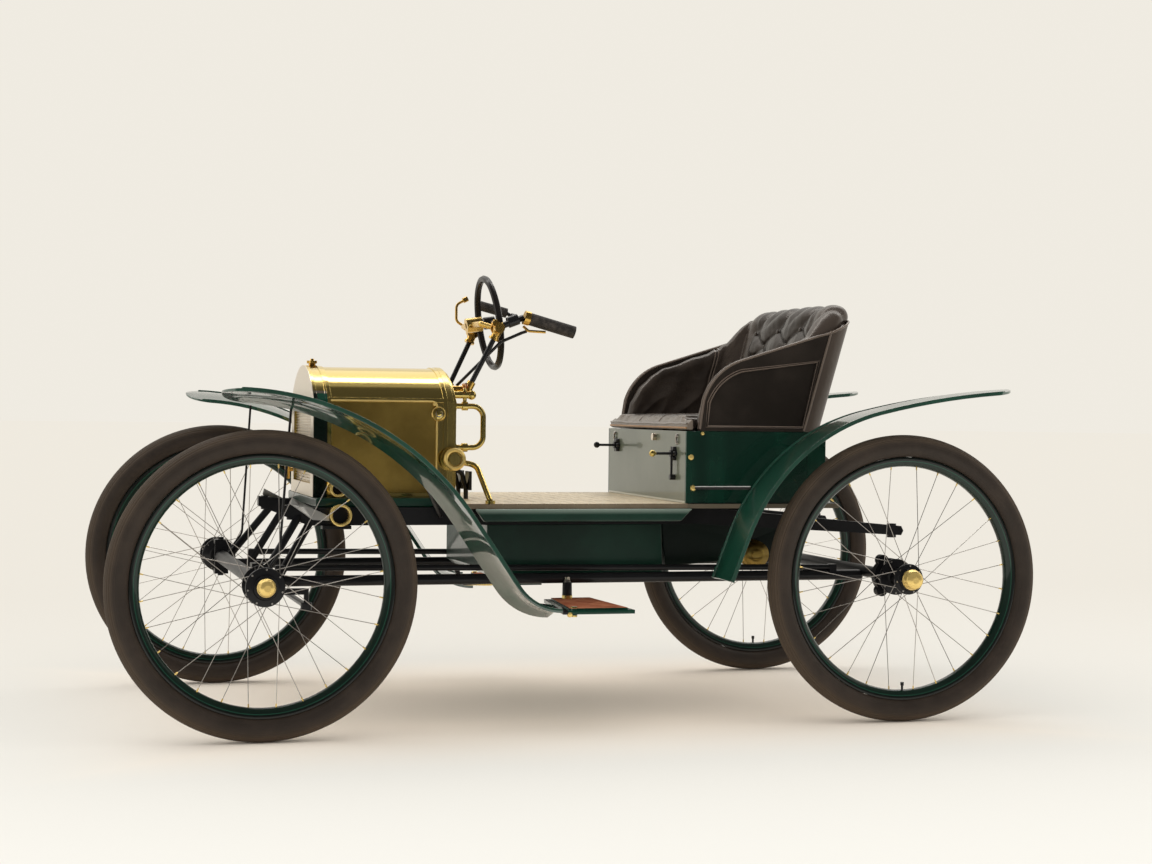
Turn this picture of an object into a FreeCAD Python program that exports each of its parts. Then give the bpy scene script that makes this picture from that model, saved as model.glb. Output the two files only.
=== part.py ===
import FreeCAD, Part
import Sketcher
import math
import os

# A small open two-seat car of the brass era: wire wheels, brass bonnet over the
# front engine, a leather tub seat on a panelled box, and long flared fenders.
# Frame: millimetres, +X to the front, +Y to the left side, +Z up.
# The origin is on the ground, half way between the axles and the two sides.

Vector = FreeCAD.Vector
Rotation = FreeCAD.Rotation
Placement = FreeCAD.Placement

doc = FreeCAD.newDocument("BrassEraCar")

# ---------------------------------------------------------------- sizes

SIZES = {
    # wheels
    "wheelbase": 1580.0,
    "track": 1030.0,
    "wheel_radius": 355.5,
    "tyre_half_width": 32.0,
    "rim_radius": 298.0,
    "rim_inner_radius": 277.0,
    "rim_half_width": 18.0,
    "flange_radius": 45.0,
    "front_flange_radius": 45.0,
    "rear_flange_radius": 38.0,
    "front_cap_radius": 20.0,
    "rear_cap_radius": 24.0,
    "barrel_radius": 22.0,
    "hub_reach": 79.0,
    "stub_radius": 11.0,
    "running_gap": 0.3,
    "spoke_thick": 3.0,
    # frame
    "rail_offset": 255.0,
    "rail_width": 30.0,
    "rail_top": 521.0,
    "rail_bottom": 478.0,
    "rail_front": 712.0,
    "nose_hole": 692.0,
    "nose_hole_height": 510.0,
    "tail_hole": -878.0,
    "tail_hole_height": 458.0,
    "boss_radius": 12.0,
    "boss_height": 36.0,
    "rail_end": -905.0,
    "cross_radius": 16.0,
    "bolt_radius": 5.0,
    # axles
    "kingpin_offset": 430.0,
    "axle_radius": 18.0,
    "arm_length": 110.0,
    "tie_height": 300.0,
    "perch_offset": 283.0,
    "perch_radius": 13.0,
    "perch_height": 346.0,
    "drum_radius": 44.0,
    "lobe_radius": 14.0,
    # bonnet
    "bonnet_half": 190.0,
    "bonnet_rear": 298.0,
    "bonnet_front": 598.0,
    "bonnet_bottom": 543.0,
    "spring_line": 783.0,
    "crown": 866.0,
    "bonnet_wall": 3.0,
    "radiator_front": 633.0,
    "dash_rear": 274.0,
    "bead": 2.5,
    "band_width": 10.0,
    "latch_height": 751.0,
    "window_half": 150.0,
    "window_bottom": 575.0,
    "window_top": 770.0,
    "gill_pitch": 7.0,
    "filler_place": 609.0,
    "filler_radius": 9.0,
    # floor
    "floor_top": 533.0,
    "floor_thick": 12.0,
    "floor_half": 345.0,
    "floor_rear": -690.0,
    "slat_pitch": 36.0,
    "groove": 3.0,
    "sill_top": 521.0,
    "sill_bottom": 490.0,
    "sill_thick": 16.0,
    "bearer_half": 248.0,
    # seat
    "box_front": -280.0,
    "box_rear": -655.0,
    "box_half": 339.0,
    "box_top": 714.0,
    "panel_thick": 12.0,
    "tub_skin": 14.0,
    "lining_thick": 38.0,
    "tub_corner": 61.0,
    "tub_rear": -654.0,
    "back_lean": 0.286,
    "back_top": 1004.0,
    "back_thick": 52.0,
    "cushion_top": 756.0,
    # fenders
    "fender_outer": 545.0,
    "fender_width": 140.0,
    "fender_thick": 5.0,
    "fender_hem": 7.0,
    "front_tip": 884.0,
    "front_tip_height": 800.0,
    "front_arc": 670.0,
    "front_slope": 56.0,
    "rear_tip": -1092.0,
    "rear_tip_height": 818.0,
    # steering
    "wheel_centre": 149.0,
    "wheel_height": 987.0,
    "ring_radius": 115.0,
    "ring_thick": 9.0,
    "ring_lean": 8.4,
    "fork_place": 160.0,
    "fork_height": 968.0,
    "column_radius": 6.5,
    "shaft_radius": 7.0,
}

sheet = doc.addObject("Spreadsheet::Sheet", "Sizes")
for row, (alias, number) in enumerate(SIZES.items(), start=1):
    sheet.set(f"A{row}", alias.replace("_", " "))
    sheet.set(f"B{row}", str(number))
    sheet.setAlias(f"B{row}", alias)
doc.recompute()


class Size:
    """A length of the sheet, or a sum of such lengths, with its formula."""

    def __init__(self, value, text):
        self.value = value
        self.text = text

    def __add__(self, other):
        other = as_size(other)
        return Size(self.value + other.value, f"({self.text} + {other.text})")

    def __sub__(self, other):
        other = as_size(other)
        return Size(self.value - other.value, f"({self.text} - {other.text})")

    def __mul__(self, other):
        other = as_size(other)
        return Size(self.value * other.value, f"({self.text} * {other.text})")

    def __truediv__(self, other):
        other = as_size(other)
        return Size(self.value / other.value, f"({self.text} / {other.text})")

    def __radd__(self, other):
        return as_size(other) + self

    def __rsub__(self, other):
        return as_size(other) - self

    def __rmul__(self, other):
        return as_size(other) * self

    def __neg__(self):
        return Size(-self.value, f"(0 - {self.text})")


def as_size(number):
    if isinstance(number, Size):
        return number
    return Size(float(number), f"({float(number)})")


def size(alias):
    return Size(float(sheet.get(alias)), f"Sizes.{alias}")


def sine(degrees):
    angle = as_size(degrees)
    return Size(math.sin(math.radians(angle.value)), f"sin({angle.text} * 1 deg)")


def cosine(degrees):
    angle = as_size(degrees)
    return Size(math.cos(math.radians(angle.value)), f"cos({angle.text} * 1 deg)")


# ---------------------------------------------------------------- helpers

nodes = []


def keep(thing, label):
    thing.Label = label
    nodes.append(thing)
    return thing


def place(thing, base, turn=None):
    """Put an object at base, three amounts, turned by a rotation."""
    base = [as_size(part) for part in base]
    spot = Vector(*[part.value for part in base])
    thing.Placement = Placement(spot, turn if turn else Rotation())
    for letter, part in zip("xyz", base):
        thing.setExpression(f"Placement.Base.{letter}", part.text)
    return thing


def new_body(name):
    return doc.addObject("PartDesign::Body", name)


def origin_part(body, role):
    return [part for part in body.Origin.OriginFeatures if part.Role == role][0]


def arc_between(start, end, radius):
    """A circle's arc from start to end: to the left of the chord if radius > 0."""
    chord = end - start
    middle = (start + end) * 0.5
    reach = math.sqrt(max(radius * radius - chord.Length * chord.Length / 4, 0.0))
    side = Vector(-chord.y, chord.x, 0).normalize()
    centre = middle + side * (reach if radius > 0 else -reach)
    first = math.atan2(start.y - centre.y, start.x - centre.x)
    last = math.atan2(end.y - centre.y, end.x - centre.x)
    circle = Part.Circle(centre, Vector(0, 0, 1), abs(radius))
    if radius > 0:
        return Part.ArcOfCircle(circle, first, last), (1, 2)
    return Part.ArcOfCircle(circle, last, first), (2, 1)


def outline(body, name, plane, corners, arcs=None, closed=True):
    """A sketch on a plane of the body, each corner held by two formulas.

    arcs gives, for the side that starts at a corner, the radius of its arc:
    positive where it turns left on its way to the next corner.
    """
    arcs = arcs or {}
    sketch = body.newObject("Sketcher::SketchObject", name)
    sketch.AttachmentSupport = [(origin_part(body, plane), "")]
    sketch.MapMode = "FlatFace"
    corners = [(as_size(across), as_size(up)) for across, up in corners]
    points = [Vector(across.value, up.value, 0) for across, up in corners]
    count = len(points) if closed else len(points) - 1
    ends = []
    for index in range(count):
        start = points[index]
        end = points[(index + 1) % len(points)]
        if index in arcs:
            curve, order = arc_between(start, end, as_size(arcs[index]).value)
        else:
            curve, order = Part.LineSegment(start, end), (1, 2)
        ends.append((sketch.addGeometry(curve), order))
    for index in range(count):
        if not closed and index == count - 1:
            break
        this, after = ends[index], ends[(index + 1) % count]
        sketch.addConstraint(
            Sketcher.Constraint("Coincident", this[0], this[1][1], after[0], after[1][0])
        )
    for index, (across, up) in enumerate(corners):
        if index < count:
            geometry, end = ends[index][0], ends[index][1][0]
        else:
            geometry, end = ends[-1][0], ends[-1][1][1]
        for kind, amount, axis in (("DistanceX", across, -2), ("DistanceY", up, -1)):
            if abs(amount.value) < 1e-9:
                sketch.addConstraint(Sketcher.Constraint("PointOnObject", geometry, end, axis))
                continue
            number = sketch.addConstraint(
                Sketcher.Constraint(kind, geometry, end, amount.value)
            )
            sketch.setExpression(f"Constraints[{number}]", amount.text)
    for index, radius in arcs.items():
        radius = as_size(radius)
        if radius.value < 0:
            radius = -radius
        number = sketch.addConstraint(
            Sketcher.Constraint("Radius", ends[index][0], radius.value)
        )
        sketch.setExpression(f"Constraints[{number}]", radius.text)
    return sketch


def pad(body, sketch, length, name="Pad", both_ways=True):
    feature = body.newObject("PartDesign::Pad", name)
    feature.Profile = sketch
    length = as_size(length)
    feature.Length = length.value
    feature.setExpression("Length", length.text)
    if both_ways:
        feature.Midplane = True
    body.Tip = feature
    return feature


def revolve(body, sketch, name="Revolution"):
    feature = body.newObject("PartDesign::Revolution", name)
    feature.Profile = sketch
    feature.ReferenceAxis = (sketch, ["V_Axis"])
    feature.Angle = 360
    body.Tip = feature
    return feature


def slab(name, corners, width, middle, arcs=None):
    """A side-view outline, given as (x, z), made as wide as width about y = middle."""
    body = new_body(name)
    sketch = outline(body, f"{name}_side", "XZ_Plane", corners, arcs)
    pad(body, sketch, width, f"{name}_pad")
    return place(body, (0, middle, 0))


def plate(name, corners, length, middle, arcs=None):
    """A front-view outline, given as (y, z), made as long as length about x = middle."""
    body = new_body(name)
    sketch = outline(body, f"{name}_front", "YZ_Plane", corners, arcs)
    pad(body, sketch, length, f"{name}_pad")
    return place(body, (middle, 0, 0))


def sheet_of(name, corners, thick, middle, arcs=None):
    """A plan outline, given as (x, y), made as thick as thick about z = middle."""
    body = new_body(name)
    sketch = outline(body, f"{name}_plan", "XY_Plane", corners, arcs)
    pad(body, sketch, thick, f"{name}_pad")
    return place(body, (0, 0, middle))


def turned(name, corners, arcs=None):
    """A turned piece: (radius, place along Y) spun about its own Y axis."""
    body = new_body(name)
    sketch = outline(body, f"{name}_section", "XY_Plane", corners, arcs)
    revolve(body, sketch, f"{name}_turned")
    return body


def block(name, low, high):
    """A box between two corners, each of three amounts."""
    box = doc.addObject("Part::Box", name)
    low = [as_size(part) for part in low]
    high = [as_size(part) for part in high]
    for path, start, end in zip(("Length", "Width", "Height"), low, high):
        span = end - start
        setattr(box, path, span.value)
        box.setExpression(path, span.text)
    return place(box, low)


def rod(name, start, end, radius):
    """A straight round bar between two points."""
    start = [as_size(part) for part in start]
    end = [as_size(part) for part in end]
    first = Vector(*[part.value for part in start])
    run = Vector(*[part.value for part in end]) - first
    bar = doc.addObject("Part::Cylinder", name)
    radius = as_size(radius)
    bar.Radius = radius.value
    bar.setExpression("Radius", radius.text)
    bar.Height = run.Length
    place(bar, start, Rotation(Vector(0, 0, 1), run))
    return bar


def ball(name, centre, radius):
    """A round knob."""
    knob = doc.addObject("Part::Sphere", name)
    radius = as_size(radius)
    knob.Radius = radius.value
    knob.setExpression("Radius", radius.text)
    return place(knob, centre)


def straight_bar(start, end, radius):
    return Part.makeCylinder(radius, (end - start).Length, start, end - start)


def tube(name, points, radius, bend):
    """A bent round bar through points, its corners rounded to the bend radius."""
    points = [Vector(*[as_size(part).value for part in point]) for point in points]
    pieces = []
    here = points[0]
    for before, corner, after in zip(points, points[1:], points[2:]):
        inward = (before - corner).normalize()
        outward = (after - corner).normalize()
        turn = math.pi - inward.getAngle(outward)
        setback = bend * math.tan(turn / 2)
        first = corner + inward * setback
        centre = corner + (inward + outward).normalize() * (bend / math.cos(turn / 2))
        axis = inward.cross(outward).normalize() * -1
        disc = Part.Face(Part.Wire(Part.makeCircle(radius, first, inward)))
        pieces.append(straight_bar(here, first, radius))
        pieces.append(disc.revolve(centre, axis, math.degrees(turn)))
        here = corner + outward * setback
    pieces.append(straight_bar(here, points[-1], radius))
    thing = doc.addObject("Part::Feature", name)
    thing.Shape = pieces[0].multiFuse(pieces[1:]).removeSplitter()
    expected = sum(piece.Volume for piece in pieces)
    if abs(thing.Shape.Volume / expected - 1) > 0.01:
        raise RuntimeError(f"{name} isn't one bar")
    return thing


def fuse(name, things):
    joined = doc.addObject("Part::MultiFuse", name)
    joined.Shapes = things
    joined.Refine = True
    return joined


def cut(name, base, tool):
    left = doc.addObject("Part::Cut", name)
    left.Base = base
    left.Tool = tool
    return left


def group(name, things):
    together = doc.addObject("Part::Compound", name)
    together.Links = things
    return together


def mirrored(thing):
    """The same piece on the other side of the car."""
    other = doc.addObject("Part::Mirroring", f"{thing.Name}_right")
    other.Source = thing
    other.Normal = Vector(0, 1, 0)
    return other


def both_sides(name, thing):
    return group(name, [thing, mirrored(thing)])


# ---------------------------------------------------------------- wheels

half_base = size("wheelbase") / 2
half_track = size("track") / 2
axle_height = size("wheel_radius")

CORNERS = [
    # name, end of the car, side of the car
    ("front_left", 1, 1),
    ("front_right", 1, -1),
    ("rear_left", -1, 1),
    ("rear_right", -1, -1),
]
SPOKE_PITCH = 360.0 / 7


def at_corner(thing, end, side):
    """Stand a wheel piece at its corner, its outer face to that side."""
    turn = Rotation(Vector(0, 0, 1), 0 if side > 0 else 180)
    return place(thing, (half_base * end, half_track * side, axle_height), turn)


def tyre(name):
    """A round-shouldered tyre: (radius, share of the half width) at each ring."""
    wide = size("tyre_half_width")
    crown = size("wheel_radius")
    rings = [
        (size("rim_radius"), 0.55),
        (crown - 27, 1.0),
        (crown - 6, 0.56),
    ]
    near = [(radius, wide * -share) for radius, share in rings]
    far = [(radius, wide * share) for radius, share in reversed(rings)]
    return turned(name, near + [(crown, 0)] + far)


def rim(name):
    outer = size("rim_radius")
    inner = size("rim_inner_radius")
    wide = size("rim_half_width")
    section = [
        (inner, wide * -0.5),
        (outer, -wide),
        (outer, wide),
        (inner, wide * 0.5),
    ]
    return turned(name, section)


HUBS = {
    # end of the car: radius of the outer flange, radius of the end cap
    1: (size("front_flange_radius"), size("front_cap_radius")),
    -1: (size("rear_flange_radius"), size("rear_cap_radius")),
}
FLANGE_PLACES = (35.0, -36.5)


def hub(name, end):
    """Barrel between two spoke flanges, with a stepped cap over the stub's end."""
    bore = size("stub_radius") + size("running_gap")
    barrel = size("barrel_radius")
    inner_flange = size("flange_radius")
    flange, cap = HUBS[end]
    reach = size("hub_reach")
    section = [
        (bore, -50),
        (barrel + 4, -50),
        (inner_flange, -40),
        (inner_flange, -33),
        (barrel, -30),
        (barrel, 28),
        (flange, 31),
        (flange, 39),
        (barrel + 4, 45),
        (cap, reach - 18),
        (cap - 3, reach - 4),
        (0, reach),
        (0, 54),
        (bore, 54),
    ]
    return turned(name, section)


SPOKE_SETS = [
    # flange (0 outer, 1 inner), lead in spoke pitches, way it leans
    (0, 0.0, 1),
    (0, 0.0, -1),
    (1, 0.5, 1),
    (1, 0.5, -1),
]
SPOKE_WRAP = 42.0
SPOKE_SPREAD = 6.4
RIM_PLACE = 5.0
SPOKE_CROSSING = 1.6


def spoke_point(radius, angle, along):
    return Vector(
        radius * math.cos(math.radians(angle)), along, radius * math.sin(math.radians(angle))
    )


def spoked_hub(name, end):
    """The hub with its 28 crossed spokes, laced to both flanges."""
    pieces = [hub(f"{name}_core", end)]
    thick = size("spoke_thick").value
    tip = size("rim_inner_radius").value + 2
    for flange_index, lead, lean in SPOKE_SETS:
        flange = HUBS[end][0] if flange_index == 0 else size("flange_radius")
        foot = flange.value - 5
        side = 1 if flange_index == 0 else -1
        aside = lean * SPOKE_CROSSING
        middle = lead * SPOKE_PITCH
        begin = spoke_point(foot, middle - lean * SPOKE_WRAP, FLANGE_PLACES[flange_index] + aside)
        finish = spoke_point(tip, middle + lean * SPOKE_SPREAD, side * RIM_PLACE + aside)
        run = finish - begin
        turn = Rotation(Vector(0, 0, 1), run)
        corner = begin + turn.multVec(Vector(-thick / 2, -thick / 2, 0))
        first = Placement(corner, turn)
        for step in range(7):
            spoke = doc.addObject("Part::Box", f"{name}_spoke")
            for path in ("Length", "Width"):
                spoke.setExpression(path, size("spoke_thick").text)
            spoke.Height = run.Length
            step_turn = Placement(Vector(), Rotation(Vector(0, 1, 0), step * SPOKE_PITCH))
            spoke.Placement = step_turn.multiply(first)
            pieces.append(spoke)
    return fuse(name, pieces)


for corner, end, side in CORNERS:
    keep(at_corner(tyre(f"{corner}_tyre"), end, side), f"{corner}_tyre")
    keep(at_corner(rim(f"{corner}_rim"), end, side), f"{corner}_rim")
    keep(at_corner(spoked_hub(f"{corner}_spokes", end), end, side), f"{corner}_spokes")

# ---------------------------------------------------------------- frame

rail_top = size("rail_top")
rail_bottom = size("rail_bottom")
rail_front = size("rail_front")
rail_end = size("rail_end")
rail_y = size("rail_offset")


def rail(name):
    """One long rail: dropped nose, level middle and a tapered tail."""
    side = [
        (rail_front, rail_top + 6),
        (rail_front - 60, rail_top),
        (-340, rail_top),
        (rail_end + 6, 470),
        (rail_end, 458),
        (rail_end + 6, 446),
        (-340, rail_bottom),
        (rail_front - 60, rail_bottom),
        (rail_front, rail_top - 20),
    ]
    return slab(name, side, size("rail_width"), rail_y)


left_rail = rail("left_rail")
right_rail = mirrored(left_rail)
crossings = []
for index, along in enumerate((620, 285, -300, -640)):
    height = 499.5 if along > -400 else 473
    crossings.append(
        rod(f"cross_{index}", (along, -rail_y, height), (along, rail_y, height),
            size("cross_radius"))
    )
boss_half = size("boss_height") / 2
bosses = []
bolt_holes = []
for tag in ("nose", "tail"):
    along = size(f"{tag}_hole")
    high = size(f"{tag}_hole_height")
    for side in (1, -1):
        low_end = (along, rail_y * side, high - boss_half)
        high_end = (along, rail_y * side, high + boss_half)
        bosses.append(rod(f"{tag}_boss", low_end, high_end, size("boss_radius")))
        bolt_holes.append(rod(f"{tag}_hole", low_end, high_end, size("bolt_radius")))
frame_whole = fuse("frame_whole", [left_rail, right_rail] + crossings + bosses)
keep(cut("frame", frame_whole, group("bolt_holes", bolt_holes)), "frame")

# ---------------------------------------------------------------- front axle

kingpin_y = size("kingpin_offset")
tube_r = size("axle_radius")
beam_half = kingpin_y - 26
pin_r = 8.0

axle_parts = [
    rod("front_beam", (half_base, -beam_half, axle_height), (half_base, beam_half, axle_height),
        tube_r)
]
for side in (1, -1):
    tag = "left" if side > 0 else "right"
    near = beam_half * side
    far = (kingpin_y + 16) * side
    low_y = near if side > 0 else far
    high_y = far if side > 0 else near
    jaw = block(
        f"{tag}_jaw",
        (half_base - 18, low_y, axle_height - 46),
        (half_base + 18, high_y, axle_height + 46),
    )
    inner = (kingpin_y - 21) * side
    outer = (kingpin_y + 30) * side
    throat = block(
        f"{tag}_throat",
        (half_base - 30, inner if side > 0 else outer, axle_height - 34),
        (half_base + 30, outer if side > 0 else inner, axle_height + 34),
    )
    eye = rod(
        f"{tag}_eye",
        (half_base, kingpin_y * side, axle_height - 60),
        (half_base, kingpin_y * side, axle_height + 60),
        pin_r + 0.3,
    )
    opened = cut(f"{tag}_fork", cut(f"{tag}_slot", jaw, throat), eye)
    axle_parts.append(opened)
    axle_parts.append(rod(
        f"{tag}_front_strut", (772, 358 * side, 364), (672, 258 * side, 506), 9.5))
    axle_parts.append(rod(
        f"{tag}_rear_strut", (728, 283 * side, 350), (641, 258 * side, 498), 9.5))
keep(fuse("front_axle", axle_parts), "front_axle")


def knuckle(name, side):
    """Kingpin boss with its pins, stub axle and steering arm."""
    spot = (half_base, kingpin_y * side)
    boss = rod(f"{name}_boss", (*spot, axle_height - 28), (*spot, axle_height + 28), 17)
    pin = rod(f"{name}_pin", (*spot, axle_height - 52), (*spot, axle_height + 52), pin_r)
    stub = rod(
        f"{name}_stub",
        (half_base, (kingpin_y + 10) * side, axle_height),
        (half_base, (half_track + 50) * side, axle_height),
        size("stub_radius"),
    )
    collar = rod(
        f"{name}_collar",
        (half_base, (kingpin_y + 10) * side, axle_height),
        (half_base, (kingpin_y + 31) * side, axle_height),
        16,
    )
    arm_end = half_base - size("arm_length")
    reach = block(
        f"{name}_arm",
        (arm_end, kingpin_y * side - 8, axle_height - 28),
        (half_base - 8, kingpin_y * side + 8, axle_height - 14),
    )
    drop = rod(
        f"{name}_ball_pin",
        (arm_end, kingpin_y * side, size("tie_height") - 9),
        (arm_end, kingpin_y * side, axle_height - 14),
        6,
    )
    return keep(fuse(name, [boss, pin, stub, collar, reach, drop]), name)


knuckle("left_knuckle", 1)
knuckle("right_knuckle", -1)

arm_end = half_base - size("arm_length")
tie = rod(
    "tie_bar",
    (arm_end, -kingpin_y, size("tie_height")),
    (arm_end, kingpin_y, size("tie_height")),
    7,
)
eyes = []
holes = []
for side in (1, -1):
    spot = (arm_end, kingpin_y * side)
    eyes.append(rod("tie_eye", (*spot, size("tie_height") - 9), (*spot, size("tie_height") + 9), 13))
    holes.append(rod("tie_hole", (*spot, size("tie_height") - 20), (*spot, size("tie_height") + 20), 6.3))
keep(cut("tie_rod", fuse("tie_whole", [tie] + eyes), group("tie_holes", holes)), "tie_rod")

# ---------------------------------------------------------------- rear axle

rear_x = -half_base
rear_parts = [
    rod("rear_tube", (rear_x, -430, axle_height), (rear_x, 430, axle_height), 15),
    rod("rear_spindle", (rear_x, -half_track - 50, axle_height),
        (rear_x, half_track + 50, axle_height), size("stub_radius")),
]
LOBE_ANGLES = (62, 182, 302)
drum_r = size("drum_radius")
lobe_r = size("lobe_radius")
for side in (1, -1):
    plate_in, plate_out = 425 * side, 447 * side
    rear_parts.append(
        rod("drum", (rear_x, plate_in, axle_height), (rear_x, plate_out, axle_height), drum_r)
    )
    rear_parts.append(
        rod("drum_collar", (rear_x, 405 * side, axle_height), (rear_x, plate_in, axle_height), 30)
    )
    for angle in LOBE_ANGLES:
        lobe_x = rear_x + drum_r * cosine(angle)
        lobe_z = axle_height + drum_r * sine(angle)
        rear_parts.append(
            rod("drum_lobe", (lobe_x, plate_in, lobe_z), (lobe_x, plate_out, lobe_z), lobe_r)
        )
keep(fuse("rear_axle", rear_parts), "rear_axle")

# ---------------------------------------------------------------- perch tubes

perch_y = size("perch_offset")
perch_z = size("perch_height")
lug_half = 10
lug_low = perch_z - 6
upper_front = (half_base - 60, perch_y, perch_z + 32)
upper_rear = (-700, perch_y, perch_z + 20)
perch = fuse("perch_left", [
    rod("perch_main", (half_base - 14, perch_y, perch_z), (rear_x + 12, perch_y, perch_z),
        size("perch_radius")),
    rod("perch_upper", upper_front, upper_rear, 7.5),
    block("perch_front_lug", (half_base - 72, perch_y - lug_half, lug_low),
          (half_base - 56, perch_y + lug_half, perch_z + 38)),
    block("perch_rear_lug", (-708, perch_y - lug_half, lug_low),
          (-690, perch_y + lug_half, perch_z + 28)),
])
keep(both_sides("perch_tubes", perch), "perch_tubes")

# ---------------------------------------------------------------- under the floor

tray = slab("undertray", [
    (205, rail_bottom),
    (-250, rail_bottom),
    (-255, 352),
    (-235, 345),
    (185, 345),
    (205, 360),
], 480, 0)
keep(tray, "undertray")

case = slab("case_block", [
    (-262, rail_bottom),
    (-620, 473),
    (-560, 384),
    (-275, 366),
], 400, 0)
final_drive = (-511, 396)
drive_parts = [
    # name, start and end across the car, radius
    ("drive_drum", 195, 232, 34),
    ("drive_rim", 200, 208, 37),
    ("drive_cap", 195, 240, 14),
]
for name, start, end, radius in drive_parts:
    along, high = final_drive
    case = fuse(f"case_with_{name}", [
        case, rod(name, (along, start, high), (along, end, high), radius),
    ])
keep(case, "gear_case")

# ---------------------------------------------------------------- bonnet

half = size("bonnet_half")
spring = size("spring_line")
crown = size("crown")
wall = size("bonnet_wall")
foot = size("bonnet_bottom")
bonnet_rear = size("bonnet_rear")
bonnet_front = size("bonnet_front")
radiator_front = size("radiator_front")
dash_rear = size("dash_rear")


def arch_radius(half_width, rise):
    return (half_width * half_width + rise * rise) / (rise * 2)


def arch(name, start, end, outward, low=foot):
    """A solid round-topped block from start to end, outward of the bonnet's own skin."""
    wide = half + outward
    high = crown + outward
    return plate(name, [
        (wide, low),
        (wide, spring),
        (-wide, spring),
        (-wide, low),
    ], end - start, (start + end) / 2, arcs={1: arch_radius(wide, high - spring)})


def hoop(name, start, end, outward, inward, low=foot):
    """An open hoop over the bonnet between two outlines."""
    wide, narrow = half + outward, half - inward
    high, inner_high = crown + outward, crown - inward
    return plate(name, [
        (wide, low),
        (wide, spring),
        (-wide, spring),
        (-wide, low),
        (-narrow, low),
        (-narrow, spring),
        (narrow, spring),
        (narrow, low),
    ], end - start, (start + end) / 2, arcs={
        1: arch_radius(wide, high - spring),
        5: -arch_radius(narrow, inner_high - spring),
    })


bead = size("bead")
band = size("band_width")
latch_x = bonnet_rear + 24
latch_z = size("latch_height")
bonnet_parts = [
    hoop("bonnet_skin", bonnet_rear, bonnet_front, 0, wall),
    hoop("rear_band", bonnet_rear, bonnet_rear + band, bead, wall),
    hoop("front_band", bonnet_front - band, bonnet_front, bead, wall),
]
for side in (1, -1):
    outer = (half + bead) * side
    inner = (half - wall) * side
    low_y, high_y = (inner, outer) if side > 0 else (outer, inner)
    for height in (foot, spring - bead * 2):
        bonnet_parts.append(block(
            "bonnet_bead",
            (bonnet_rear, low_y, height),
            (bonnet_front, high_y, height + bead * 4),
        ))
    bonnet_parts.append(rod(
        "latch_boss", (latch_x, inner, latch_z), (latch_x, (half + 12) * side, latch_z), 15))
    bonnet_parts.append(rod(
        "latch_stud", (latch_x, inner, latch_z), (latch_x, (half + 17) * side, latch_z), 7))
keep(fuse("bonnet", bonnet_parts), "bonnet")

window_half = size("window_half")
window_low = size("window_bottom")
window_high = size("window_top")
window = block(
    "radiator_window",
    (bonnet_front - 5, -window_half, window_low),
    (radiator_front + 5, window_half, window_high),
)
filler_x = size("filler_place")
filler_r = size("filler_radius")
neck = rod("filler_neck", (filler_x, 0, crown - 20), (filler_x, 0, crown + 8), filler_r)
shell = fuse("radiator_shell", [
    arch("shell_body", bonnet_front, radiator_front, 1),
    arch("shell_front_lip", radiator_front - band, radiator_front, bead + 1),
    arch("shell_rear_lip", bonnet_front, bonnet_front + band / 2, bead + 1),
    neck,
])
keep(cut("radiator", shell, window), "radiator")

gill = size("gill_pitch")
core_rear = bonnet_front + 4
core_front = radiator_front - 5
core = new_body("core")
core_side = outline(core, "core_side", "XZ_Plane", [
    (core_rear, window_low),
    (core_front - 4, window_low),
    (core_front - 4, window_high),
    (core_rear, window_high),
])
pad(core, core_side, window_half * 2, "core_block")
gill_side = outline(core, "gill_side", "XZ_Plane", [
    (core_front - 6, window_low + gill * 0.3),
    (core_front, window_low + gill * 0.45),
    (core_front, window_low + gill * 0.6),
    (core_front - 6, window_low + gill * 0.75),
])
gill_pad = pad(core, gill_side, window_half * 2, "gill_pad")
gills = core.newObject("PartDesign::LinearPattern", "gills")
gills.Originals = [gill_pad]
gills.Direction = (origin_part(core, "Z_Axis"), [""])
gills.Occurrences = round((window_high.value - window_low.value) / gill.value)
gills.Length = gill.value * (gills.Occurrences - 1)
core.Tip = gills
keep(core, "radiator_core")

cap_low = crown + 8
fittings = [
    rod("cap_disc", (filler_x, 0, cap_low), (filler_x, 0, cap_low + 7), filler_r + 2),
    rod("cap_button", (filler_x, 0, cap_low), (filler_x, 0, cap_low + 12), filler_r - 4),
    rod("drain_stem", (radiator_front, -165, 600), (radiator_front + 16, -165, 600), 5),
    rod("drain_body", (radiator_front + 14, -165, 576), (radiator_front + 14, -165, 620), 6.5),
    rod("drain_handle", (radiator_front + 14, -180, 622), (radiator_front + 14, -150, 622), 3.5),
]
for number in range(5):
    angle = 72 * number
    fittings.append(rod(
        "cap_lobe",
        (filler_x + filler_r * cosine(angle), filler_r * sine(angle), cap_low),
        (filler_x + filler_r * cosine(angle), filler_r * sine(angle), cap_low + 7),
        filler_r / 2,
    ))
keep(fuse("radiator_fittings", fittings), "radiator_fittings")

engine = block("engine_block", (340, -110, foot), (560, 110, 770))
keep(engine, "engine_block")

dash_lip = 3.0
dash_parts = [
    arch("dash_board", dash_rear, bonnet_rear, -4, size("floor_top")),
    arch("dash_flange", dash_rear + 8, bonnet_rear, dash_lip, size("floor_top")),
]
keep(fuse("dash", dash_parts), "dash")

# ---------------------------------------------------------------- dash pipes

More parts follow.
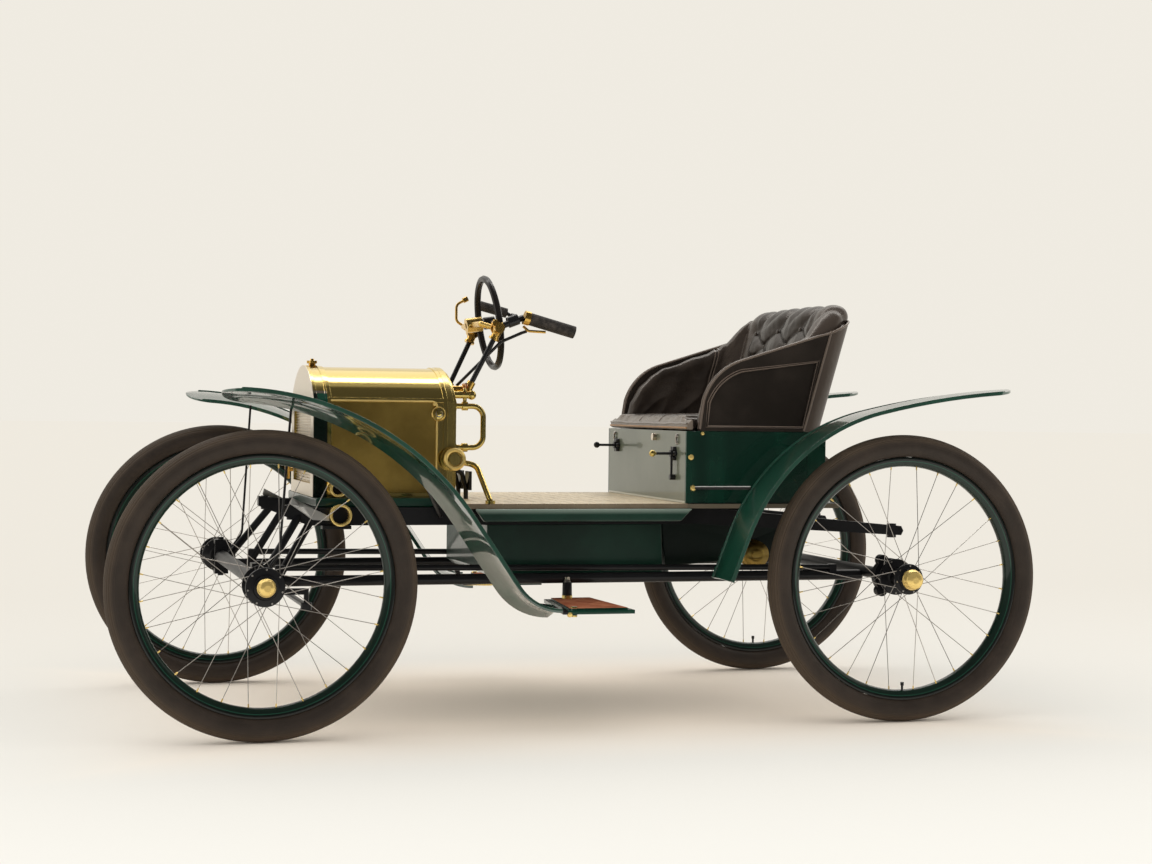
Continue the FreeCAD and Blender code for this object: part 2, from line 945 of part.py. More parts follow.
pipe_r = 7.0
loop_y = 150
loop_high, loop_low = 770, 666
loop_x = 197
nut_x = 238
valve_x, valve_z = 228, 798
stem_x = 245
drum_x, drum_z = 286, 638
drum_face = half + dash_lip
pipe_foot = (219, 330)
pipes = fuse("dash_pipes", [
    tube("upper_loop", [
        (dash_rear.value, loop_y, loop_high), (loop_x, loop_y, loop_high),
        (loop_x, loop_y, loop_low), (dash_rear.value, loop_y, loop_low),
    ], pipe_r, 28),
    rod("upper_flange", (dash_rear, loop_y, loop_high), (dash_rear - 6, loop_y, loop_high), 14),
    rod("lower_flange", (dash_rear, loop_y, loop_low), (dash_rear - 6, loop_y, loop_low), 14),
    rod("upper_nut", (nut_x, loop_y, loop_high), (nut_x + 14, loop_y, loop_high), 11),
    rod("lower_nut", (nut_x, loop_y, loop_low), (nut_x + 14, loop_y, loop_low), 11),
    tube("lower_pipe", [(264, 206, 630), (230, 222, 624), (219, 328, 539.5)], pipe_r, 34),
    rod("floor_flange", (*pipe_foot, 533), (*pipe_foot, 541), 12),
    rod("drum", (drum_x, drum_face, drum_z), (drum_x, drum_face + 29, drum_z), 27),
    rod("drum_rim", (drum_x, drum_face + 4, drum_z), (drum_x, drum_face + 11, drum_z), 31),
    rod("drum_cap", (drum_x, drum_face + 29, drum_z), (drum_x, drum_face + 37, drum_z), 15),
    rod("valve_body", (dash_rear, loop_y, valve_z), (valve_x, loop_y, valve_z), 9),
    rod("valve_stem", (stem_x, loop_y, loop_high), (stem_x, loop_y, valve_z + 24), 5),
    rod("valve_bar", (stem_x, loop_y - 16, valve_z + 26), (stem_x, loop_y + 16, valve_z + 26), 4.5),
    ball("valve_end", (valve_x, loop_y, valve_z), 12),
])
keep(pipes, "dash_pipes")

# ---------------------------------------------------------------- nose fittings

rail_outer = rail_y + size("rail_width") / 2
bracket = slab("nose_bracket", [
    (694, 546),
    (604, 500),
    (604, 490),
    (644, 492),
    (698, 530),
], 6, rail_outer + 3)
lower_lug = slab("nose_lug", [
    (622, rail_bottom),
    (552, rail_bottom),
    (552, 470),
    (622, 470),
], 30, rail_outer + 3)
bolt_head = rod("nose_bolt", (672, rail_outer + 6, 526), (672, rail_outer + 13, 526), 8)
keep(both_sides("nose_brackets", fuse("nose_bracket_left", [bracket, lower_lug, bolt_head])),
     "nose_brackets")


def open_pipe(name, along, start, end, high, outer):
    """A short open pipe across the car with a rolled rim at its outer end."""
    wall_in = outer - 4
    whole = fuse(f"{name}_whole", [
        rod(f"{name}_wall", (along, start, high), (along, end, high), outer),
        rod(f"{name}_rim", (along, end - 5, high), (along, end, high), outer + 2.5),
    ])
    bore = rod(f"{name}_bore", (along, start + 6, high), (along, end + 5, high), wall_in)
    return cut(name, whole, bore)


intake = group("intake_pipes", [
    open_pipe("lower_intake", 580, 270, 306, 504, 24),
    open_pipe("upper_intake", 576, half + bead, 238, 565, 18),
])
keep(intake, "intake_tubes")

# ---------------------------------------------------------------- floor

floor_top = size("floor_top")
deck = floor_top - size("floor_thick")
floor_half = size("floor_half")
slat = size("slat_pitch")
floor_rear = size("floor_rear")
groove = size("groove")
boards = new_body("boards")
board_side = outline(boards, "board_side", "XZ_Plane", [
    (floor_rear, deck),
    (bonnet_rear, deck),
    (bonnet_rear, floor_top),
    (floor_rear, floor_top),
])
pad(boards, board_side, floor_half * 2, "board_pad")
first_groove = size("box_front") + slat
groove_side = outline(boards, "groove_side", "XZ_Plane", [
    (first_groove, floor_top - groove),
    (first_groove + groove, floor_top - groove),
    (first_groove + groove, floor_top + 1),
    (first_groove, floor_top + 1),
])
groove_cut = boards.newObject("PartDesign::Pocket", "groove_cut")
groove_cut.Profile = groove_side
groove_cut.Midplane = True
groove_cut.setExpression("Length", (floor_half * 2 + 10).text)
grooves = boards.newObject("PartDesign::LinearPattern", "grooves")
grooves.Originals = [groove_cut]
grooves.Direction = (origin_part(boards, "X_Axis"), [""])
grooves.Occurrences = int((dash_rear.value - first_groove.value) / slat.value)
grooves.Length = slat.value * (grooves.Occurrences - 1)
boards.Tip = grooves
keep(boards, "floor")

sill_low = size("sill_bottom")
sill_high = size("sill_top")
sill_side = slab("sill_left", [
    (262, sill_high),
    (-292, sill_high),
    (-262, sill_low),
    (240, sill_low),
], size("sill_thick"), floor_half + size("sill_thick") / 2)
bearer_half = size("bearer_half")
bearer = block("bonnet_bearer", (bonnet_rear, -bearer_half, deck),
               (radiator_front, bearer_half, foot))
keep(group("sills", [sill_side, mirrored(sill_side), bearer]), "sills")

# ---------------------------------------------------------------- seat

box_front = size("box_front")
box_rear = size("box_rear")
box_half = size("box_half")
box_top = size("box_top")
thick = size("panel_thick")
box_solid = block("box_outside", (box_rear, -box_half, floor_top), (box_front, box_half, box_top))
box_hollow = block(
    "box_inside",
    (box_rear + thick, -box_half + thick, floor_top - 5),
    (box_front - thick, box_half - thick, box_top - thick),
)
keep(cut("seat_box", box_solid, box_hollow), "seat_box")

back_top = size("back_top")
skin = size("tub_skin")
corner_r = size("tub_corner")
tub_low = box_top + 0.5
back_low = size("tub_rear")
back_lean = size("back_lean")
open_end = box_front + 30


def shell(name, outside, side_wall, back_wall, low):
    """A U-shaped wall, open to the front, that leans back with the seat's back.

    outside is how far its outer face lies inside the tub's own.
    """
    wide = box_half - outside
    narrow = wide - side_wall
    rear = back_low + outside + (tub_low - low) * -back_lean
    inner_rear = rear + back_wall
    outer_r = corner_r - outside
    inner_r = as_size(max(outer_r.value - side_wall.value, 20.0))
    body = new_body(name)
    plan = outline(body, f"{name}_plan", "XY_Plane", [
        (open_end, wide),
        (rear + outer_r, wide),
        (rear, wide - outer_r),
        (rear, outer_r - wide),
        (rear + outer_r, -wide),
        (open_end, -wide),
        (open_end, -narrow),
        (inner_rear + inner_r, -narrow),
        (inner_rear, inner_r - narrow),
        (inner_rear, narrow - inner_r),
        (inner_rear + inner_r, narrow),
        (open_end, narrow),
    ], {1: outer_r, 3: outer_r, 7: -inner_r, 9: -inner_r})
    wall = pad(body, plan, 360, f"{name}_wall", both_ways=False)
    wall.UseCustomVector = True
    wall.Direction = Vector(-back_lean.value, 0, 1)
    wall.AlongSketchNormal = True
    return place(body, (0, 0, low))


def trimmed(name, wall, corners, arcs):
    """Keep what of a wall lies within a side view outline."""
    kept = doc.addObject("Part::Common", name)
    kept.Base = wall
    kept.Tool = slab(f"{name}_outline", corners, box_half * 2 + 20, 0, arcs)
    return kept


tub_wall = shell("tub_wall", as_size(0), skin, skin, tub_low)
tub = trimmed("tub", tub_wall, [
    (-314, tub_low),
    (-326, 790),
    (-420, 889),
    (-632, 956),
    (-742, back_top),
    (-800, back_top),
    (-800, tub_low),
], {1: 150, 3: -300})
inset = slab("tub_inset", [
    (-338, tub_low + 14),
    (-344, 786),
    (-428, 862),
    (-626, 890),
    (-588, tub_low + 14),
], 8, box_half, {1: 125})
insets = both_sides("tub_insets", inset)
keep(cut("seat_tub", tub, insets), "seat_tub")

lining_thick = size("lining_thick")
back_thick = size("back_thick")
lining_low = box_top + 10
lining_wall = shell("lining_wall", skin, lining_thick, back_thick, lining_low)
lining_body = trimmed("lining_body", lining_wall, [
    (-322, lining_low),
    (-333, 786),
    (-424, 880),
    (-560, 922),
    (-624, 962),
    (-700, 1034),
    (-800, 1040),
    (-800, lining_low),
], {1: 140})
roll = slab("top_roll", [
    (-746, back_top + 0.5),
    (-746, 1020),
    (-720, 1042),
    (-690, 1036),
    (-672, back_top + 0.5),
], 560, 0)
keep(fuse("seat_lining", [lining_body, roll]), "seat_lining")

# the cushion fills the tub, and its front roll runs the box's whole width ahead of the arms
cushion_half = box_half - skin - lining_thick - 1
cushion_front = box_front - 3
cushion_low = box_top + 1
cushion_top = size("cushion_top")
cushion_main = slab("cushion_main", [
    (cushion_front - 17, cushion_low),
    (cushion_front - 17, cushion_top),
    (-568, cushion_top),
    (-564, cushion_low),
], cushion_half * 2, 0)
cushion_roll = slab("cushion_roll", [
    (cushion_front, cushion_low),
    (cushion_front, cushion_top - 18),
    (cushion_front - 13, cushion_top - 5),
    (cushion_front - 27, cushion_top - 4),
    (cushion_front - 27, cushion_low),
], box_half * 2 - 10, 0)
keep(fuse("cushion_whole", [cushion_main, cushion_roll]), "seat_cushion")

# ---------------------------------------------------------------- small controls

TAPS = [
    # place across the car, height of the spindle, reach of the lever, drop of its link
    (-245, 668, 62, 0),
    (250, 656, 60, 60),
]
PEDALS = [-20, 70]
controls = []
for across, high, reach, drop in TAPS:
    face = box_front
    pieces = [
        rod("tap_plate", (face, across, high), (face + 4, across, high), 17),
        rod("tap_boss", (face, across, high), (face + 14, across, high), 9),
        rod("tap_lever", (face, across, high), (face + reach, across, high), 3.5),
        ball("tap_knob", (face + reach, across, high), 8.5),
    ]
    for number in range(6):
        angle = 60 * number
        lobe_y = across + 14 * cosine(angle)
        lobe_z = high + 14 * sine(angle)
        pieces.append(rod("tap_lobe", (face, lobe_y, lobe_z), (face + 9, lobe_y, lobe_z), 5.5))
    if drop:
        pieces.append(rod("tap_link", (face + 9, across, high), (face + 9, across, high - drop), 3))
        pieces.append(rod("link_knob", (face, across, high - drop), (face + 14, across, high - drop), 7))
    controls.append(fuse("tap", pieces))
controls.append(rod("box_button", (box_front, 90, 696), (box_front + 10, 90, 696), 9))
for across in PEDALS:
    foot_x = 222
    controls.append(fuse("pedal", [
        tube("pedal_arm", [
            (dash_rear.value, across, 604), (foot_x + 12, across, 604), (foot_x, across, 560),
            (foot_x, across, floor_top.value + 0.2),
        ], 6, 14),
        block("pedal_pad", (foot_x - 10, across - 24, 556), (foot_x - 3, across + 24, 604)),
    ]))
keep(group("controls", controls), "controls")

# ---------------------------------------------------------------- fenders

fender_y = size("fender_outer") - size("fender_width") / 2
fender_thick = size("fender_thick")
hem = size("fender_hem")


def fender(name, tip, spine, arcs, drop):
    """A plate swept along a side-view spine; its inner edge lies lower by drop."""
    body = new_body(name)
    path = outline(body, f"{name}_spine", "XZ_Plane", spine, arcs, closed=False)
    half_width = size("fender_width") / 2
    section = outline(body, f"{name}_section", "YZ_Plane", [
        (half_width, -bead),
        (half_width, fender_thick + bead),
        (half_width - hem, fender_thick + bead),
        (half_width - hem, fender_thick),
        (0, fender_thick + 6 - drop / 2),
        (hem - half_width, fender_thick - drop),
        (hem - half_width, fender_thick + bead - drop),
        (-half_width, fender_thick + bead - drop),
        (-half_width, -bead - drop),
        (0, 6 - drop / 2),
    ])
    section.AttachmentOffset = Placement(Vector(0, tip[1].value, tip[0].value), Rotation())
    section.setExpression("AttachmentOffset.Base.z", tip[0].text)
    section.setExpression("AttachmentOffset.Base.y", tip[1].text)
    swept = body.newObject("PartDesign::AdditivePipe", f"{name}_sweep")
    swept.Profile = section
    swept.Spine = (path, [])
    body.Tip = swept
    return place(body, (0, fender_y, 0))


def round_tip(name, body, tip, way):
    """Trim a fender's end to a half round; way is 1 for the front and -1 for the rear."""
    radius = size("fender_width") / 2 + 1
    heel = tip - radius * way
    low, high = fender_y - radius, fender_y + radius
    corner = block(
        f"{name}_corner",
        (heel if way > 0 else tip - 5, low - 5, 740),
        (tip + 5 if way > 0 else heel, high + 5, 860),
    )
    nose = rod(f"{name}_nose", (heel, fender_y, 735), (heel, fender_y, 865), radius)
    return cut(name, body, cut(f"{name}_scrap", corner, nose))


front_tip = size("front_tip")
front_high = size("front_tip_height")
slope = size("front_slope")
front_arc = size("front_arc")
start_x = front_tip - 22
arc_x = start_x - front_arc * sine(slope)
arc_z = front_high - front_arc * (1 - cosine(slope))
foot_arc = 130.0
straight = 192.0
foot_x = arc_x - cosine(slope) * straight
foot_z = arc_z - sine(slope) * straight
end_x = foot_x - sine(slope) * foot_arc
end_z = foot_z - (1 - cosine(slope)) * foot_arc
front_fender = fender("front_fender", (front_tip, front_high), [
    (front_tip, front_high),
    (start_x, front_high),
    (arc_x, arc_z),
    (foot_x, foot_z),
    (end_x, end_z),
], {1: front_arc, 3: -foot_arc}, 25)
front_fender = round_tip("front_fender_left", front_fender, front_tip, 1)
keep(both_sides("front_fenders", front_fender), "front_fenders")

rear_tip = size("rear_tip")
rear_high = size("rear_tip_height")
shallow, sharp, tail_slope = 14.0, 69.0, 3.0
long_arc = 1990.0
short_arc = 490.0
turn_x = rear_tip + (sine(shallow) - sine(tail_slope)) * long_arc
turn_z = rear_high - (cosine(tail_slope) - cosine(shallow)) * long_arc
knee_x = turn_x + (sine(sharp) - sine(shallow)) * short_arc
knee_z = turn_z - (cosine(shallow) - cosine(sharp)) * short_arc
hem_x = knee_x + cosine(sharp) * 118
hem_z = knee_z - sine(sharp) * 118
rear_fender = fender("rear_fender", (rear_tip, rear_high), [
    (rear_tip, rear_high),
    (turn_x, turn_z),
    (knee_x, knee_z),
    (hem_x, hem_z),
], {0: -long_arc, 1: -short_arc}, 0)
rear_fender = round_tip("rear_fender_left", rear_fender, rear_tip, -1)
keep(both_sides("rear_fenders", rear_fender), "rear_fenders")

step_low = end_z - 6.5
step_high = end_z + 2.5
step_plan = [
    (end_x, 545),
    (-86, 545),
    (-66, 250),
    (60, 250),
]
tread_plan = [
    (70, 530),
    (-72, 530),
    (-54, 265),
    (46, 265),
]
peg_x, peg_y = 14, 300
step = fuse("step_left", [
    sheet_of("step_plate", step_plan, 9, (step_low + step_high) / 2),
    sheet_of("step_tread", tread_plan, 5, step_high + 2),
    rod("step_post", (peg_x, peg_y, step_low), (peg_x, peg_y, 350), 7),
    rod("step_post_base", (peg_x, peg_y, step_high), (peg_x, peg_y, step_high + 14), 13),
    rod("step_bolt", (60, 528, step_low - 7), (60, 528, step_high + 8), 8),
    tube("step_strap", [(170, 283, 337), (150, 300, 286), (60, 350, 279), (10, 380, 280)], 7, 26),
])
keep(both_sides("steps", step), "steps")

# ---------------------------------------------------------------- fender stays

stays = fuse("stays_left", [
    tube("front_stay", [(776, 385, 368), (738, 390, 420), (716, 407, 766)], 3, 30),
    rod("middle_stay", (330, 270, 500), (393, 408, 583), 6),
    rod("rear_stay_low", (-300, 339, 572), (-426, 407, 575), 4.5),
    rod("rear_stay_high", (-560, 339, 674), (-545, 408, 682), 5),
])
keep(both_sides("fender_stays", stays), "fender_stays")

# ---------------------------------------------------------------- steering

centre_x = size("wheel_centre")
centre_z = size("wheel_height")
lean = size("ring_lean")
shaft = Vector(math.cos(math.radians(lean.value)), 0, -math.sin(math.radians(lean.value)))
ring_r = size("ring_radius")
ring_t = size("ring_thick")

ring = turned("steering_ring", [
    (ring_r + ring_t * math.cos(math.radians(turn)), ring_t * math.sin(math.radians(turn)))
    for turn in range(0, 360, 45)
])
spoke_bar = rod("ring_bar", (-ring_r, 0, 0), (ring_r, 0, 0), 5)
spoke_hub = rod("ring_hub", (0, -14, 0), (0, 14, 0), 16)
ring_shaft = rod("ring_shaft", (0, 0, 0), (0, 58, 0), size("shaft_radius"))
wheel = fuse("steering_wheel", [ring, spoke_bar, spoke_hub, ring_shaft])
facing = Rotation(Vector(0, 0, 1), -90).multiply(Rotation(Vector(1, 0, 0), -lean.value))
wheel.Placement = Placement(Vector(centre_x.value, 0, centre_z.value), facing)
keep(wheel, "steering_wheel")

middle = Vector(centre_x.value, 0, centre_z.value)
head = middle + shaft * 46
boss_start = middle + shaft * 20
boss_end = middle + shaft * 62
fork_x = size("fork_place").value
fork_z = size("fork_height").value
column_r = size("column_radius")
grip_y = 152
foot_z = 812
pin_x = fork_x + 9
column_parts = [
    tube("head_bar", [
        (fork_x, 140, fork_z), (fork_x + 4, 134, fork_z), (head.x, 100, head.z),
        (head.x, -100, head.z), (fork_x + 4, -134, fork_z), (fork_x, -140, fork_z),
    ], 7, 8),
    rod("head_boss", tuple(boss_start), tuple(boss_end), 19),
    rod("bar_left", (fork_x, grip_y, fork_z + 2), (96, grip_y, 996), 8),
    rod("clamp_left", (136, grip_y, 982), (110, grip_y, 992), 14),
    rod("cross_bar", (116, 150, 990), (45, -151, 1010), 7),
    rod("grip_neck", (66, -grip_y, 1021), (50, -grip_y, 1012), 5),
    rod("grip_knob", (54, -grip_y, 1013), (38, -grip_y, 1009), 9),
    tube("spark_rod", [(252, 84, 822), (150, 137, 934), (96, 139, 958), (84, 139, 962)], 4, 26),
]
casting_parts = []
for side, tag in ((1, "left"), (-1, "right")):
    foot_point = Vector(232, 126 * side, foot_z)
    top = Vector(fork_x, 142 * side, fork_z - 8)
    rise = (top - foot_point).normalize()
    socket = top - rise * 24
    low_end = foot_point + rise * 22
    across = 150 * side
    column_parts.append(
        rod(f"column_{tag}", tuple(foot_point + rise * 6), tuple(socket + rise * 8), column_r))
    casting_parts += [
        rod(f"foot_arm_{tag}", (dash_rear, foot_point.y, foot_z), tuple(foot_point), 9),
        ball(f"foot_elbow_{tag}", tuple(foot_point), 11),
        rod(f"foot_socket_{tag}", tuple(foot_point), tuple(low_end), column_r + 4),
        rod(f"socket_{tag}", tuple(socket), tuple(top), column_r + 4),
        rod(f"socket_ring_{tag}", tuple(socket), tuple(socket + rise * 6), column_r + 7),
        rod(f"cross_{tag}", (fork_x, 131 * side, fork_z), (fork_x, 168 * side, fork_z), 13),
        rod(f"cross_ring_{tag}", (fork_x, 131 * side, fork_z), (fork_x, 138 * side, fork_z), 17),
        rod(f"pinch_bolt_{tag}", (pin_x, across, fork_z - 16), (pin_x, across, fork_z + 22), 4.5),
        rod(f"pinch_ear_{tag}", (pin_x, across - 7, fork_z + 12), (pin_x, across + 7, fork_z + 12), 8),
    ]
column_bore = rod(
    "column_bore", tuple(middle), tuple(middle + shaft * 80), size("shaft_radius") + 0.3)
column_whole = cut("column_bored", fuse("column_whole", column_parts), column_bore)
castings = fuse("castings_whole", casting_parts + [
    tube("advance_lever", [(fork_x + 4, -148, fork_z + 4), (204, -148, 996), (204, -148, 1040),
                           (180, -148, 1054)], 3.5, 16),
    rod("lever_end", (186, -148, 1051), (174, -148, 1057), 7),
])
collars = [
    rod("grip_collar", (94, grip_y, 996.5), (80, grip_y, 993), 18),
    tube("brake_lever", [(96, grip_y, 974), (84, 158, 962), (40, 162, 960)], 3.5, 10),
]
keep(column_whole, "steering_column")
casting_cut = cut("castings_cut", castings, fuse("column_seats", column_parts))
keep(group("steering_castings", [casting_cut] + collars), "steering_castings")

grips = group("hand_grips", [
    rod("grip_left", (80, grip_y, 993), (-38, grip_y, 961), 16),
    rod("grip_right", (142, -grip_y, 1040), (66, -grip_y, 1021), 13),
])
keep(grips, "hand_grips")

# ---------------------------------------------------------------- write

doc.recompute()
bad = [thing.Name for thing in doc.Objects if {"Invalid", "Error"} & set(thing.State)]
if bad:
    raise RuntimeError(f"failed objects: {bad}")
os.makedirs("parts", exist_ok=True)
for thing in nodes:
    if thing.Shape.isNull() or not thing.Shape.isValid():
        raise RuntimeError(f"{thing.Label} has no valid shape")
    thing.Shape.exportStep(f"parts/{thing.Label}.step")
print(len(nodes), "nodes")
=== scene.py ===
"""Dresses a small open two-seat car of the brass era: wire wheels, brass bonnet,
panelled seat box with a buttoned leather tub, flared fenders and a ring wheel."""

import math
from itertools import product

import bmesh
import bpy
from bpy.props import FloatProperty, FloatVectorProperty, IntProperty, PointerProperty
from mathutils import Matrix, Vector, noise
from mathutils.bvhtree import BVHTree


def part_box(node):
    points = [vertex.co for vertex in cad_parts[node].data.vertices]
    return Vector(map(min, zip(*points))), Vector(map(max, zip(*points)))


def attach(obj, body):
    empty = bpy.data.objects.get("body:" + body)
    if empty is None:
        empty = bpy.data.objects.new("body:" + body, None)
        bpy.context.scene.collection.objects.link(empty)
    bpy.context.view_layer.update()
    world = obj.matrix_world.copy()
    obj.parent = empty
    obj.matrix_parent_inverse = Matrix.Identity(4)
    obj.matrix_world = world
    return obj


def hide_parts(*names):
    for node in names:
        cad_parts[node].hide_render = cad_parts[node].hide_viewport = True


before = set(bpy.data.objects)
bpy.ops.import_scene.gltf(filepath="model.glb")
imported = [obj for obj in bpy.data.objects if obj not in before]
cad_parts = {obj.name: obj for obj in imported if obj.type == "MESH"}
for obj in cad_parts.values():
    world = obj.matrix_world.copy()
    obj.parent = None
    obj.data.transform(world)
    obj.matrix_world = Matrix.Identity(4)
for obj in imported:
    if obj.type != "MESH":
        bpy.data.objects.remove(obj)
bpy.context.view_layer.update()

bl_info = {
    "name": "Brass Era Car",
    "version": (1, 0, 0),
    "blender": (4, 5, 0),
    "location": "3D View > Sidebar > Car",
    "description": "Dresses the packed model of a brass era car with its finishes and soft parts",
    "category": "Object",
}

# height at which the bonnet's arch springs
SPRING_LINE = 0.783
# how far the tub leans back for each metre up, and the height that it leans from
TUB_LEAN = 0.286
TUB_FOOT = 0.7145
# distance within which points are one point
WELD = 0.00002
CORNERS = {
    # corner: end of the car, side of the car
    "front_left": (1, 1),
    "front_right": (1, -1),
    "rear_left": (-1, 1),
    "rear_right": (-1, -1),
}


def low(node):
    return Vector(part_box(node)[0])


def high(node):
    return Vector(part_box(node)[1])


def middle(node):
    return (low(node) + high(node)) / 2


def smooth_step(start, end, amount):
    """0 before start, 1 after end, with a smooth rise between."""
    share = min(max((amount - start) / (end - start), 0.0), 1.0)
    return share * share * (3 - 2 * share)


# ---------------------------------------------------------------- settings


def colour_setting(name, description, default):
    return FloatVectorProperty(
        name=name, description=description, default=default, size=3, min=0, max=1, subtype="COLOR"
    )


def length_setting(name, description, default):
    return FloatProperty(
        name=name, description=description, default=default, min=0, unit="LENGTH", precision=4
    )


class CarColours(bpy.types.PropertyGroup):
    enamel: colour_setting("Enamel", "Coach green of the body and fenders", (0.0035, 0.030, 0.0175))
    black: colour_setting("Black", "Stove enamel of the frame and axles", (0.008, 0.008, 0.009))
    brass: colour_setting("Brass", "Polished brass of the fittings", (0.78, 0.60, 0.20))
    dull_brass: colour_setting("Dull brass", "Hand-rubbed brass of the side panels",
                               (0.45, 0.305, 0.080))
    leather: colour_setting("Leather", "Hide of the seat", (0.019, 0.0145, 0.0115))
    rubber: colour_setting("Rubber", "Aged rubber of the tyres", (0.027, 0.018, 0.012))
    wood: colour_setting("Wood", "Slatted floor", (0.80, 0.66, 0.45))
    nickel: colour_setting("Nickel", "Plated front of the radiator", (0.74, 0.66, 0.54))


class WheelSizes(bpy.types.PropertyGroup):
    spoke: length_setting("Spoke", "Radius of a spoke", 0.0009)
    nipple: length_setting("Nipple", "Radius of a spoke's nipple", 0.0021)
    rib: length_setting("Rib", "Depth of the tyre's grooves", 0.0014)
    steps: IntProperty(name="Steps", description="Steps round a tyre", default=144, min=24)


class SeatSizes(bpy.types.PropertyGroup):
    button_pitch: length_setting("Button pitch", "Spacing of the buttons along a row", 0.163)
    row_pitch: length_setting("Row pitch", "Spacing of the rows of buttons", 0.047)
    tuft: length_setting("Tuft", "Depth of the buttoned tufts", 0.017)
    piping: length_setting("Piping", "Radius of the piping", 0.003)


class StageSettings(bpy.types.PropertyGroup):
    backdrop: colour_setting("Backdrop", "Colour behind and under the car", (0.868, 0.832, 0.757))
    key: FloatProperty(name="Key", description="Strength of the overhead lamp", default=0.45)
    key_slope: FloatProperty(name="Key slope", description="Lean of the overhead lamp, in degrees",
                             default=26.0)
    key_spread: FloatProperty(name="Key spread", description="Width of the overhead lamp, in degrees",
                              default=75.0)
    fill: FloatProperty(name="Fill", description="Strength of the room's light", default=1.12)


# ---------------------------------------------------------------- finishes

FINISHES = {}


def sum_of(operation, swapped=False):
    """A method that joins a value and another in a Math node."""

    def joined(value, other=0.0):
        pair = (other, value) if swapped else (value, other)
        return value.finish.node("ShaderNodeMath", {"operation": operation}, *pair)

    return joined


class Value:
    """A socket that takes part in sums: each sum adds its Math node."""

    __add__ = __radd__ = sum_of("ADD")
    __sub__ = sum_of("SUBTRACT")
    __rsub__ = sum_of("SUBTRACT", swapped=True)
    __mul__ = __rmul__ = sum_of("MULTIPLY")
    __pow__ = sum_of("POWER")
    __gt__ = sum_of("GREATER_THAN")
    __lt__ = sum_of("LESS_THAN")
    least = sum_of("MINIMUM")
    most = sum_of("MAXIMUM")
    size = sum_of("ABSOLUTE")
    sine = sum_of("SINE")

    def __init__(self, finish, socket):
        self.finish = finish
        self.socket = socket

    def between(self, start, end):
        """0 up to start, 1 from end on, smooth between."""
        settings = {"interpolation_type": "SMOOTHSTEP"}
        return self.finish.node("ShaderNodeMapRange", settings, self, start, end, 0.0, 1.0)


class Nodes:
    """The node tree of a material or a world."""

    def __init__(self, owner):
        owner.use_nodes = True
        self.tree = owner.node_tree

    def node(self, kind, settings, *inputs, out=0, **named):
        """Add a node with its settings, then the values or links of its sockets."""
        made = self.tree.nodes.new(kind)
        for setting, amount in settings.items():
            setattr(made, setting, amount)
        for key, amount in [*enumerate(inputs), *named.items()]:
            self.join(made.inputs[key], amount)
        return Value(self, made.outputs[out])

    def join(self, socket, amount):
        """Link a value to a socket, or set a number or a colour on it."""
        if isinstance(amount, Value):
            self.tree.links.new(amount.socket, socket)
        elif socket.type == "RGBA":
            socket.default_value = (*amount, 1.0)
        else:
            socket.default_value = amount


class Finish(Nodes):
    """A material on Principled, built node by node and kept by its name."""

    def __init__(self, name, **fixed):
        self.material = bpy.data.materials.new(name)
        super().__init__(self.material)
        self.shader = self.tree.nodes["Principled BSDF"]
        self.place = self.node("ShaderNodeTexCoord", {}, out="Object")
        for socket, amount in fixed.items():
            self.feed(socket.replace("_", " ").title().replace("Ior", "IOR"), amount)
        FINISHES[name] = self

    def feed(self, socket, amount):
        self.join(self.shader.inputs[socket], amount)

    def axes(self):
        """Places along the car, across it and up."""
        split = self.node("ShaderNodeSeparateXYZ", {}, self.place).socket.node
        return [Value(self, socket) for socket in split.outputs]

    def stretched(self, *scale):
        return self.node("ShaderNodeMapping", {}, Vector=self.place, Scale=scale)

    def cloud(self, scale, detail=4.0, rough=0.55, place=None):
        """Soft noise from 0 to 1."""
        named = {"Vector": place or self.place, "Scale": scale, "Detail": detail, "Roughness": rough}
        return self.node("ShaderNodeTexNoise", {}, **named)

    def cells(self, scale, feature="F1"):
        settings = {"feature": feature}
        return self.node("ShaderNodeTexVoronoi", settings, Vector=self.place, Scale=scale)

    def blend(self, share, first, second):
        """A colour between two, by a share from 0 to 1."""
        mix = self.node("ShaderNodeMix", {"data_type": "RGBA"}, Factor=share).socket.node
        ends = [socket for socket in mix.inputs if socket.type == "RGBA"]
        for socket, colour in zip(ends, (first, second)):
            self.join(socket, colour)
        return Value(self, next(socket for socket in mix.outputs if socket.type == "RGBA"))

    def bump(self, height, distance, strength=1.0):
        named = {"Height": height, "Distance": distance, "Strength": strength}
        self.feed("Normal", self.node("ShaderNodeBump", {}, **named))

    def worn_edges(self, start, end):
        """A mask of the outward edges, from the surface's pointiness."""
        return self.node("ShaderNodeNewGeometry", {}, out="Pointiness").between(start, end)

    def wheel_reach(self):
        """Distance from the axle of the wheel that a point lies on."""
        axle = middle("front_left_tyre")
        along, _, up = self.axes()
        ahead = along.size() - axle.x
        rise = up - axle.z
        return (ahead * ahead + rise * rise) ** 0.5


def tone(colour, share):
    return tuple(min(part * share, 1.0) for part in colour)


def enamel(name, colour, coat=0.5, **gloss):
    """Brushed and flatted coach enamel under varnish: faint orange peel and dust."""
    varnish = {"coat_weight": coat, "coat_roughness": 0.05, "specular_ior_level": 0.3}
    finish = Finish(name, **{**varnish, **gloss})
    drift = finish.cloud(5.0)
    dust = finish.cloud(60.0, 6.0, 0.7)
    deep = finish.blend(drift.between(0.35, 0.7), tone(colour, 0.8), tone(colour, 1.25))
    finish.feed("Base Color", finish.blend(dust.between(0.62, 0.85) * 0.10, deep, (0.30, 0.27, 0.22)))
    finish.feed("Roughness", 0.22 + dust * 0.16 + drift * 0.08)
    finish.bump(finish.cloud(220.0, 2.0) + drift * 2.0, 0.0004, 0.35)
    return finish


